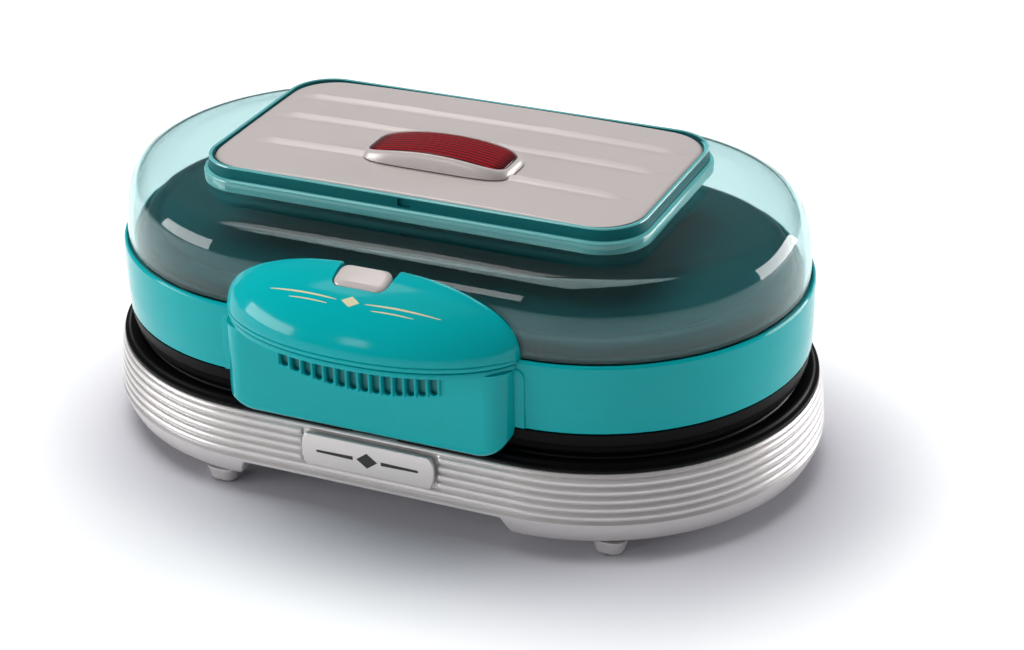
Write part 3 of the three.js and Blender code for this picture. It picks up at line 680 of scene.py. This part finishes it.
def heating_plates():
    """Both castings. The edge is cut back further on the hidden side than on the cooking side."""
    for place, body, (low, low_r), (high, high_r), floor_z in (
            ("lower", "base", (1, 0.4), (0.6, 0.5), LOWER_WELL_Z),
            ("upper", "lid", (0.6, 0.5), (1, 0.4), UPPER_WELL_Z)):
        lo, hi = edges(f"{place}_plate")
        r = hi.y
        levels = fillet([(2, lo.z), (r - low, lo.z, 0.4), (r, lo.z + low, low_r),
                         (r, hi.z - high, high_r), (r - high, hi.z, 0.4), (2, hi.z)])[:-1]
        face_z = hi.z if place == "lower" else lo.z
        heating_plate(f"{place}_well_plate", f"{place}_plate", body, levels, floor_z, face_z)


def teal_band():
    r, low, top = BAND_HI.y, BAND_LO.z, BAND_HI.z
    ring = fillet([(r - 2.3, low, 0.2), (r - 0.4, low, 0.7), (r, low + 9, 3), (r, top - 0.9, 0.5),
                   (r - 0.55, top, 0.3), (r - 1.35, top, 0.25), (r - 1.6, top - 1.7, 0.1),
                   (75.6, top - 1.7, 0.1), (75.6, top - 3.7, 0.1), (r - 2.3, top - 3.7, 0.1)])
    make_piece("teal_band", swept_ring(ring), TEAL, "lid", "lid_band", sharp=40)


def smooth_through(points, steps=6):
    """Catmull-Rom curve through a list of (x, y)."""
    pts = [Vector(p) for p in points]
    pts = [pts[0] * 2 - pts[1]] + pts + [pts[-1] * 2 - pts[-2]]
    out = []
    for a, b, c, d in zip(pts, pts[1:], pts[2:], pts[3:]):
        for k in range(steps):
            t = k / steps
            out.append(0.5 * (2 * b + (c - a) * t + (2 * a - 5 * b + 4 * c - d) * t * t
                              + (3 * b - a - 3 * c + d) * t ** 3))
    return out + [pts[-2]]


COVER_SIDE = [(78.6, 74.8), (78.45, 82), (77.8, 89), (76.6, 95), (74.3, 99.9), (70.3, 103.5),
              (63.4, 105.3), (50, 106.0), (25, 106.45), (2, 106.5)]
COVER_WALL = 2.0
RIM_FRONT, RIM_BACK, RIM_HALF_X, RIM_CORNER = -51.0, 47.5, 88.4, 19.0


def plinth_loop(inset):
    """Outline of the raised rim round the top plate."""
    return rounded_rect(-RIM_HALF_X + inset, RIM_HALF_X - inset, RIM_FRONT + inset, RIM_BACK - inset,
                        RIM_CORNER - inset / 2, 14)


def clear_cover():
    """Clear shell over the dome, with a stepped rim that holds the top plate."""
    top = COVER_HI.z
    side = smooth_through(COVER_SIDE)
    piece = make_piece("clear_cover", swept_solid(side), CLEAR, "lid", "lid_cover", sharp=60)
    rim = [(2.4, 101.5), (1.1, 102.6), (0.3, 103.8), (0, 105.2), (0, 109.1), (-0.25, 109.8),
           (-0.8, 110.2), (-1.5, 110.35), (-1.8, 110.6), (-1.85, 111.1), (-1.9, top - 0.6),
           (-2.1, top - 0.2), (-2.5, top), (-3.0, top), (-3.3, top - 0.25)]
    boolean(piece, stacked(plinth_loop(0), rim, upright), "UNION")
    inner = [(76.6, 72.0)]
    for r, z in side[:-1]:
        if z > 75.2:
            inner_r = r - COVER_WALL
            inner.append((inner_r, z - COVER_WALL * smoothstep(80, 60, inner_r)))
    boolean(piece, swept_solid(inner), "DIFFERENCE")
    boolean(piece, stacked(plinth_loop(3.4), [(0, 112.3), (0, 120)], upright), "DIFFERENCE")
    clip = rounded_rect(-2.6, 2.6, 110.9, 114.1, 0.8, 4)
    boolean(piece, stacked(clip, [(0, RIM_FRONT - 1), (0, RIM_FRONT + 2.9)], facing_front), "DIFFERENCE")
    piece.data.materials.append(RIM_PALE)
    piece.data.materials.append(RIM_DEEP)
    for face in piece.data.polygons:
        x, y, z = face.center / MM
        dx = abs(x) - (RIM_HALF_X - RIM_CORNER)
        dy = abs(y - (RIM_FRONT + RIM_BACK) / 2) - ((RIM_BACK - RIM_FRONT) / 2 - RIM_CORNER)
        beyond = (math.hypot(dx, dy) if min(dx, dy) > 0 else max(dx, dy)) - RIM_CORNER
        if -4.2 < beyond < 0.1 and z > 105.3:
            face.material_index = 2 if 110.4 < z < 114.3 else 1
    boolean(piece, stacked(plinth_loop(7), [(0, 95), (0, 120)], upright), "DIFFERENCE")


def inner_dome():
    lo, hi = DOME_LO, DOME_HI
    rim = hi.z - 4.4
    outer = smooth_through([(73, 76.2), (73, 78), (72.6, rim - 0.9), (71.2, rim + 0.6),
                            (69.2, rim + 1.3), (67.4, rim + 1.1), (66, rim + 0.6), (63.5, rim + 0.8),
                            (50, rim + 2.2), (25, hi.z - 0.5), (2, hi.z - 0.1)])
    bm = swept_solid([(75.3, lo.z), (75.35, 76)] + outer)
    piece = make_piece("inner_dome", bm, DARK, "lid", "inner_housing", sharp=40)
    hollow = smooth_through([(71, 73), (71, 77), (70.4, rim - 2.2), (68, rim - 1.3), (50, rim + 0.4),
                             (25, hi.z - 2.3), (2, hi.z - 2)])
    boolean(piece, swept_solid(hollow), "DIFFERENCE")


RIB_LINES = ((-21.0, 74.0), (4.0, 78.0), (24.0, 79.0))
RIB_HEIGHT = 1.35


def ribbed_plate():
    """Crowned plate with a rolled edge and three raised creases that fade out towards the ends."""
    lo, hi = PLATE_LO, PLATE_HI
    half_x, y0, y1 = hi.x, lo.y, hi.y
    corner = RIM_CORNER - 1.85
    edge_r = 1.6
    face_z = hi.z - RIB_HEIGHT
    steps_in = (0, 0.08, 0.3, 0.65, 1.1, 1.6, 2.4, 3.4, 4.6, 6.0, 7.6, 9.4, 11.4, 13.6, 16, 18.5)
    xs = sorted({-half_x + d for d in steps_in} | {half_x - d for d in steps_in}
                | {(half_x - 18.5) * (k / 24 - 1) for k in range(49)})
    ys = {y0 + d for d in steps_in} | {y1 - d for d in steps_in}
    for line, _ in RIB_LINES:
        ys |= {line + d for d in (-3.4, -2.4, -1.6, -0.9, -0.4, 0, 0.4, 0.9, 1.6, 2.4, 3.4)}
    ys |= {y0 + 18.5 + k * (y1 - y0 - 37) / 20 for k in range(21)}
    ys = sorted(ys)
    inner_front, inner_back = y0 + corner, y1 - corner

    def squeeze(y, x):
        over = abs(x) - (half_x - corner)
        if over <= 0:
            return y
        drop = corner - math.sqrt(max(corner ** 2 - over ** 2, 0))
        if y < inner_front:
            return inner_front + (y - inner_front) * (corner - drop) / corner
        if y > inner_back:
            return inner_back + (y - inner_back) * (corner - drop) / corner
        return y

    def depth_inside(x, y):
        dx = abs(x) - (half_x - corner)
        dy = max(inner_front - y, y - inner_back)
        if dx > 0 and dy > 0:
            return corner - math.hypot(dx, dy)
        return corner - max(dx, dy)

    def height(x, y):
        z = face_z - 1.2 * (abs(x) / half_x) ** 2.4 - 0.5 * (abs(y) / 50) ** 2
        for line, end in RIB_LINES:
            fade = smoothstep(end + 4, end - 8, abs(x))
            across = max(0.0, 1 - abs(y - line) / 2.7)
            z += RIB_HEIGHT * fade * across ** 1.3
            z += 0.25 * fade * math.exp(-((y - line) / 5.0) ** 2)
        near = depth_inside(x, y)
        if near < edge_r:
            z -= edge_r - math.sqrt(max(edge_r ** 2 - (edge_r - near) ** 2, 0))
        return min(z, hi.z)

    rows = [[Vector((x, squeeze(y, x), height(x, squeeze(y, x)))) for x in xs] for y in ys]
    bm, grid = skin(rows, around=False)
    border = (grid[0] + [row[-1] for row in grid[1:]] + grid[-1][-2::-1]
              + [row[0] for row in grid[-2:0:-1]])
    lower = [bm.verts.new((v.co.x, v.co.y, lo.z)) for v in border]
    for i in range(len(border)):
        j = (i + 1) % len(border)
        bm.faces.new((border[i], lower[i], lower[j], border[j]))
    bm.faces.new(lower)
    make_piece("ribbed_top_plate", bm, PLATE_SILVER, "lid", "top_plate", sharp=45)


def oblong(half_x, half_y, mid_y, power=5.0, count=96):
    """Points of a rounded oblong, starting at its right end."""
    out = []
    for k in range(count):
        a = 2 * math.pi * k / count
        c, s = math.cos(a), math.sin(a)
        reach = (abs(c) ** power + abs(s) ** power) ** (-1 / power)
        out.append((half_x * reach * c, mid_y + half_y * reach * s))
    return out


def badge():
    """Arched red lens in a silver mound on the plate."""
    lo, hi = edges("badge_frame")
    half_x, half_y, mid_y = hi.x, (hi.y - lo.y) / 2, (hi.y + lo.y) / 2
    crown = hi.z - 0.2

    def mound_row(inset, lift):
        row = []
        for x, y in oblong(half_x - inset, half_y - inset, mid_y):
            top = crown - 3.6 * (x / half_x) ** 2
            row.append(Vector((x, y, lerp(lo.z, top, lift))))
        return row

    rows = [mound_row(inset, lift) for inset, lift in (
        (0.0, 0.0), (0.05, 0.12), (0.3, 0.42), (0.75, 0.74), (1.2, 0.93), (1.6, 1.0), (1.9, 1.0),
        (2.05, 0.94), (2.1, 0.7), (2.1, 0.0))]
    bm, grid = skin(rows)
    for i in range(96):
        j = (i + 1) % 96
        bm.faces.new((grid[0][i], grid[-1][i], grid[-1][j], grid[0][j]))
    make_piece("badge_mound", bm, PLATE_SILVER, "lid", "badge_frame", sharp=50)

    lens_lo, lens_hi = edges("badge_lens")
    lens_x, lens_y = lens_hi.x - 0.05, (lens_hi.y - lens_lo.y) / 2 - 0.1

    def lens_row(inset, drop, base=False):
        row = []
        for x, y in oblong(lens_x - inset, lens_y - inset, mid_y):
            top = lens_hi.z - 0.1 - 3.9 * (x / half_x) ** 2 - 0.5 * ((y - mid_y) / half_y) ** 2
            row.append(Vector((x, y, lens_lo.z + 0.1 if base else top - drop)))
        return row

    rows = [lens_row(0, 0, True)] + [lens_row(inset, drop) for inset, drop in (
        (0, 0.9), (0.12, 0.45), (0.4, 0.15), (0.9, 0.0), (2.5, 0.0), (4.5, 0.0), (6.8, 0.0), (9.0, 0.0))]
    bm, grid = skin(rows)
    bm.faces.new(grid[0])
    cap_across(bm, grid[-1])
    make_piece("badge_red_lens", bm, RED, "lid", "badge_lens", sharp=60)


# ---- handle and latch

WALL_Y = -76.5
SEAM_Z = CAP_LO.z
LENS_HALF_X = CAP_HI.x / 0.995
LIP_Y = CAP_LO.y
CREST_Z = CAP_HI.z
FRONT_Y = -90.0
LINE_TOP = 2.5
HANDLE_BODY_HALF = 55.8
SLOTS, PITCH, SLOT_HALF = 14, 4.5, 1.6
SLOT_TOP_Z, FIN_TOP_Z = 72.2, 72.4


def lens_depth(x, half_x, depth):
    """How far the lens outline stands out from the wall at x."""
    return depth * max(0.0, 1 - abs(x / half_x) ** 2.2) ** 0.6


def crest_rise(x, half_x, rise):
    """How high the cap stands above its seam at x."""
    return rise * max(0.0, 1 - abs(x / half_x) ** 2.2) ** 0.38


def lens_stations(half_x, count=72):
    """X stations across the lens outline, closer together at its pointed ends."""
    return [-0.9995 * half_x * math.cos(math.pi * i / count) for i in range(count + 1)]


def pillow_point(x, angle, inset=0.0):
    """A point of the cap's surface above its seam line; angle runs from the seam to the crest."""
    half_x = LENS_HALF_X - inset
    d = lens_depth(x, half_x, WALL_Y - LIP_Y - inset)
    h = crest_rise(x, half_x, CREST_Z - SEAM_Z - inset - 0.1)
    start = LINE_TOP * min(1.0, h / 14)
    c, s = math.cos(angle) ** 1.15, math.sin(angle) ** 1.15
    return Vector((x, WALL_Y - d * c, SEAM_Z + start + (h - start) * s))


def pillow(inset, floor_z, back_y, stations=72, rounds=20):
    """The cap's solid: a rolled lower edge, a fine groove over it, then the rounded lens."""
    half_x = LENS_HALF_X - inset
    rows = []
    for x in lens_stations(half_x, stations):
        front = pillow_point(x, 0.0, inset)
        step = (front.z - SEAM_Z) / LINE_TOP
        base_z = SEAM_Z if inset == 0 else floor_z
        row = [Vector((x, back_y, base_z)), Vector((x, front.y + 0.7 * step, base_z)),
               Vector((x, front.y + 0.2 * step, base_z + 0.12 * step))]
        for off, rise in ((0.0, 0.45), (0.0, 1.45), (0.15, 1.65), (0.4, 1.8), (0.4, 2.0), (0.15, 2.2)):
            row.append(Vector((x, front.y + off * step, SEAM_Z + rise * step)))
        row += [pillow_point(x, math.pi / 2 * k / (rounds - 1), inset) for k in range(rounds)]
        row.append(Vector((x, back_y, row[-1].z)))
        rows.append(row)
    bm = closed_skin(rows)
    bmesh.ops.recalc_face_normals(bm, faces=bm.faces)
    return bm


def lid_envelope():
    """Everything inside the band and the clear cover, with a running gap."""
    profile = [(BAND_HI.y + 0.3, 30), (BAND_HI.y + 0.3, BAND_HI.z + 0.2), (79.0, BAND_HI.z + 0.4)]
    profile += [(r + 0.3, z + 0.3) for r, z in COVER_SIDE if z > 77]
    return swept_solid(profile)


def handle_cap():
    bm = pillow(0, SEAM_Z, WALL_Y + 1)
    piece = make_piece("handle_cap_shell", bm, TEAL, "lid", "handle_cap", sharp=50)
    boolean(piece, pillow(2.2, SEAM_Z - 3, WALL_Y + 2, 40, 12), "DIFFERENCE")
    slot = rounded_rect(-10.65, 10.65, -88.35, -60, 3.6)
    boolean(piece, stacked(slot, [(0, 84), (0, 97.2), (0.5, 99.0), (1.2, 101)], upright), "DIFFERENCE")
    boolean(piece, lid_envelope(), "DIFFERENCE")


def front_outline(inset):
    """The handle's front view: two round lower corners and straight sides."""
    half_x, bottom = HANDLE_BODY_HALF - inset, HANDLE_LO.z + inset
    r = 12 - inset
    corner = []
    for k in range(13):
        a = math.radians(90 * k / 12 - 90)
        corner.append(Vector((half_x - r + r * math.cos(a), bottom + r + r * math.sin(a))))
    sides = [Vector((half_x, 100)), Vector((-half_x, 100))]
    return corner + sides + [Vector((-p.x, p.y)) for p in reversed(corner)]


def lens_loop(inset, back_y):
    """The lip's plan: the lens outline in front and straight sides behind the wall."""
    half_x = LENS_HALF_X - inset
    depth = WALL_Y - LIP_Y - inset
    loop = [Vector((x, WALL_Y - lens_depth(x, half_x, depth))) for x in lens_stations(half_x)]
    return loop + [Vector((half_x, back_y)), Vector((-half_x, back_y))]


def handle_body():
    """Hollow handle with a lens-shaped lip on top and a grille in its front."""
    top, edge_r = HANDLE_HI.z, 4.5
    levels = [(0, -60), (0, FRONT_Y + edge_r)]
    for k in range(1, 9):
        a = math.pi / 2 * k / 8
        levels.append((-edge_r * (1 - math.cos(a)), FRONT_Y + edge_r * (1 - math.sin(a))))
    shell = stacked(front_outline(0), levels, facing_front)
    piece = make_piece("handle_shell", shell, TEAL, "lid", "handle_body", sharp=50)
    plan = rounded_rect(-HANDLE_BODY_HALF, HANDLE_BODY_HALF, FRONT_Y - 0.01, -40, 9, 12)
    boolean(piece, stacked(plan, [(0, 20), (0, 120)], upright), "INTERSECT")
    above = rounded_rect(-80, 80, -120, -40, 1, 2)
    boolean(piece, stacked(above, [(0, top - 2.0), (0, 120)], upright), "DIFFERENCE")
    lip = [(-0.5, top - 2.3), (-0.12, top - 2.1), (0, top - 1.7), (0, top - 0.75),
           (-0.15, top - 0.3), (-0.55, top - 0.1), (-0.9, top)]
    boolean(piece, stacked(lens_loop(0.5, -66), lip, upright), "UNION")
    levels = [(0, -55), (0, FRONT_Y + 9.5), (-1.4, FRONT_Y + 5.6), (-3.6, FRONT_Y + 3.3),
              (-6.0, FRONT_Y + 2.3)]
    cavity = stacked(front_outline(2.3), levels, facing_front)
    bmesh.ops.bisect_plane(cavity, geom=cavity.verts[:] + cavity.edges[:] + cavity.faces[:],
                           plane_co=(0, 0, top - 2.4), plane_no=(0, 0, 1), clear_outer=True)
    bmesh.ops.holes_fill(cavity, edges=cavity.edges[:])
    boolean(piece, cavity, "DIFFERENCE")
    deck = rounded_rect(-46, 46, -87.7, -60, 3)
    boolean(piece, stacked(deck, [(0, top - 12), (0, top + 5)], upright), "DIFFERENCE")
    boolean(piece, grille_cutter(), "DIFFERENCE")
    boolean(piece, lid_envelope(), "DIFFERENCE")
    # The pocket backs take the darker teal, as painted shade.
    piece.data.materials.append(PAINTED_POCKET_SHADE)
    for face in piece.data.polygons:
        x, y, z = face.center / MM
        if abs(x) < SLOTS * PITCH / 2 and FRONT_Y + 0.75 < y < FRONT_Y + 2.1 and 55 < z < FIN_TOP_Z:
            face.material_index = 1
    fins()


def grille_foot(x):
    """Height at which the grille starts; it rises towards both ends."""
    return 57.4 + 4.2 * (x / 30) ** 2


def grille_cutter():
    """Tall round-footed pockets side by side under the lip."""
    bm = bmesh.new()
    for i in range(SLOTS):
        x = (i - (SLOTS - 1) / 2) * PITCH
        foot, half = grille_foot(x), SLOT_HALF
        loop = [Vector((x + half * math.cos(a), foot + half + half * math.sin(a)))
                for a in (math.pi + math.pi * k / 8 for k in range(9))]
        loop += [Vector((x + half, SLOT_TOP_Z)), Vector((x - half, SLOT_TOP_Z))]
        stacked(loop, [(0.35, FRONT_Y - 1), (0.3, FRONT_Y), (0.05, FRONT_Y + 0.3), (0, FRONT_Y + 0.7),
                       (0, FRONT_Y + 1.9)], facing_front, bm)
    return bm


def fins():
    """Rounded ribs between the pockets, standing a little proud of the front."""
    bm = bmesh.new()
    for i in range(SLOTS + 1):
        x = (i - SLOTS / 2) * PITCH
        foot = grille_foot(x) - 0.6
        rows = []
        for t in range(12):
            z = foot + (FIN_TOP_Z - foot) * (t / 11) ** 1.7
            proud = 1.0 * min(1.0, max(0.0, (z - foot) / 1.6)) ** 0.5
            half = 0.55 + 0.15 * min(1.0, (z - foot) / 1.6)
            row = []
            for k in range(9):
                a = math.pi * k / 8
                stand = (0.6 + proud) * max(0.0, math.sin(a)) ** 0.8
                row.append(Vector((x + half * math.cos(a), FRONT_Y + 0.6 - stand, z)))
            rows.append(row)
        closed_skin(rows, bm)
    make_piece("grille_fins", bm, TEAL, "lid", sharp=60)


def on_pillow(x, angle, lift):
    """A point a little above the cap's surface."""
    return pillow_point(x, angle) + Vector((0, -math.cos(angle), math.sin(angle))) * lift


def cap_print():
    """Plain cream pinstripes with a lozenge between them, printed on the cap."""
    bm = bmesh.new()

    def stroke(points):
        rows = []
        for x, angle, half in points:
            rows.append([on_pillow(x, angle - half, -0.25), on_pillow(x, angle + half, -0.25),
                         on_pillow(x, angle + half, 0.05), on_pillow(x, angle - half, 0.05)])
        closed_skin(rows, bm)

    def pinstripe(x0, x1, level, bow, half, count):
        points = []
        for k in range(count + 1):
            swell = math.sin(math.pi * k / count)
            points.append((lerp(x0, x1, k / count), level + bow * swell, 0.003 + half * swell ** 0.6))
        stroke(points)

    level = math.radians(50)
    for side in (-1, 1):
        pinstripe(side * 5.5, side * 33, level, 0.02, 0.010, 24)
        pinstripe(side * 8.5, side * 24, level - 0.075, 0.01, 0.006, 16)
    stroke([(lerp(-3.4, 3.4, t / 16), level, 0.002 + 0.075 * (1 - abs(t / 8 - 1))) for t in range(17)])
    make_piece("cap_print", bm, CREAM, "lid")


def collar():
    """Slightly raised panel of the band that frames the handle."""
    half, low, top, r = HANDLE_BODY_HALF + 3.6, BAND_LO.z + 0.5, BAND_HI.z - 3.2, 3.5
    loop = [Vector((half, low))]
    for k in range(9):
        a = math.pi / 2 * k / 8
        loop.append(Vector((half - r + r * math.cos(a), top - r + r * math.sin(a))))
    loop += [Vector((-p.x, p.y)) for p in reversed(loop)]
    face = BAND_LO.y
    levels = [(0, face + 0.6), (0, face - 0.35), (-0.12, face - 0.55), (-0.4, face - 0.65)]
    make_piece("handle_collar", stacked(loop, levels, facing_front), TEAL, "lid", sharp=50)


def push_button():
    """Silver pad, softly pillowed and sloping down towards the front, on a stem with a wedge."""
    hi = edges("latch_button")[1]
    half_x, front, back, top = hi.x, -88.0, hi.y, hi.z
    loop = rounded_rect(-half_x, half_x, front, back, 3.4, 8)
    mid_y = (front + back) / 2

    def surface(p, drop):
        slope = top - 3.4 + 3.2 * (p.y - front) / (back - front)
        crown = 0.5 * (1 - (p.x / half_x) ** 2)
        return Vector((p.x, p.y, min(slope + crown - drop, top)))

    normals = outward(loop)
    side = ((-0.2, 3.8), (-0.05, 3.6), (0, 3.2), (0, 1.6), (-0.2, 0.9), (-0.6, 0.4), (-1.2, 0.12),
            (-2.0, 0.0))
    rows = [[surface(p + n * off, drop) for p, n in zip(loop, normals)] for off, drop in side]
    for scale in (0.75, 0.5, 0.25):
        rows.append([surface(Vector((p.x * scale, mid_y + (p.y - mid_y) * scale)), 0) for p in loop])
    bm = closed_skin(rows)
    stem = rounded_rect(-88.3, -84.6, 83, 95.5, 0.5, 3)
    stacked(stem, [(0, -3), (0, 3)], facing_side, bm)
    wedge = [Vector(p) for p in ((-88.3, 78.5), (-86.3, 78.5), (-84.55, 83.2), (-88.3, 83.2))]
    stacked(wedge, [(0, -3), (0, 3)], facing_side, bm)
    make_piece("push_button", bm, PLATE_SILVER, "button", "latch_button", sharp=50)


# ---- hinge

HINGE_R, HINGE_Z, PIN_HOLE_R = 9.0, 44.5, 3.2
HINGE_Y = edges("hinge_arm")[1].y - HINGE_R


def barrel(x0, x1, r=HINGE_R * 0.998, edge=0.6):
    """A cylinder on the hinge axis with softened ends."""
    angles = [2 * math.pi * k / 48 for k in range(48)]
    loop = [Vector((HINGE_Y + r * math.cos(a), HINGE_Z + r * math.sin(a))) for a in angles]
    levels = [(-edge, x0), (-edge * 0.3, x0 + edge * 0.3), (0, x0 + edge), (0, x1 - edge),
              (-edge * 0.3, x1 - edge * 0.3), (-edge, x1)]
    return stacked(loop, levels, facing_side)


def hinge():
    """The lid's arm and barrel between two bracket posts, bored for the pins."""
    half = edges("hinge_arm")[1].x
    root_y = BAND_HI.y + 0.3
    web = fillet([(root_y, 50.4, 0), (86.8, 45.5, 3), (HINGE_Y + HINGE_R * 0.96, 45.5, 3),
                  (HINGE_Y + HINGE_R * 0.98, 62, 4), (97, 70.9, 4), (root_y, 70.9, 0)], 8)
    levels = [(-0.7, -half), (-0.2, -half + 0.2), (0, -half + 0.7), (0, half - 0.7),
              (-0.2, half - 0.2), (-0.7, half)]
    arm = stacked(web, levels, facing_side)
    piece = make_piece("hinge_arm_shell", arm, TEAL, "lid", "hinge_arm", sharp=40)
    boolean(piece, barrel(-half, half), "UNION")
    for side in (-1, 1):
        x0, x1 = sorted((side * 22, side * (half + 1)))
        boolean(piece, barrel(x0, x1, PIN_HOLE_R, 0), "DIFFERENCE")
    for side, name in ((-1, "left"), (1, "right")):
        b_lo, b_hi = edges(f"hinge_bracket_{name}")
        post = rounded_rect(b_lo.y, b_hi.y - 0.05, b_lo.z, HINGE_Z, 0.8, 3)
        levels = [(-0.6, b_lo.x), (-0.2, b_lo.x + 0.2), (0, b_lo.x + 0.6), (0, b_hi.x - 0.6),
                  (-0.2, b_hi.x - 0.2), (-0.6, b_hi.x)]
        bracket = make_piece(f"bracket_{name}", stacked(post, levels, facing_side), BLACK, "base",
                             f"hinge_bracket_{name}", sharp=40)
        boolean(bracket, barrel(b_lo.x, b_hi.x), "UNION")
        x0 = b_lo.x - 1 if side > 0 else b_lo.x + 2
        x1 = b_hi.x - 2 if side > 0 else b_hi.x + 1
        boolean(bracket, barrel(x0, x1, PIN_HOLE_R, 0), "DIFFERENCE")


# ---- put it together

# Nodes shown with the CAD's own mesh.
CARRIED = {
    DARK: ("bottom_cover",),
    STEEL: ("latch_hook", "latch_keeper", "button_spring", "hook_pin", "lower_plate_screw_front",
            "lower_plate_screw_rear", "upper_plate_screw_front", "upper_plate_screw_rear",
            "lower_element", "upper_element", "thermal_fuse", "hinge_pin_left", "hinge_pin_right",
            "bottom_screw_1", "bottom_screw_2", "bottom_screw_3", "bottom_screw_4"),
    CHROME: ("lower_reflector", "upper_reflector"),
    CERAMIC: ("plate_post_left", "plate_post_right", "thermostat", "terminal_block"),
    BLACK: ("cord_gland",),
    AMBER: ("pilot_lamp",),
}

make_camera()
make_stage()
base_shell()
for corner_name in ("front_left", "front_right", "rear_right", "rear_left"):
    foot(corner_name)
name_panel()
bezels()
heating_plates()
teal_band()
clear_cover()
inner_dome()
ribbed_plate()
badge()
handle_cap()
handle_body()
collar()
cap_print()
push_button()
hinge()
for look, node_names in CARRIED.items():
    for node_name in node_names:
        mesh = NODE_OBJECTS[node_name].data
        mesh.materials.clear()
        mesh.materials.append(look)
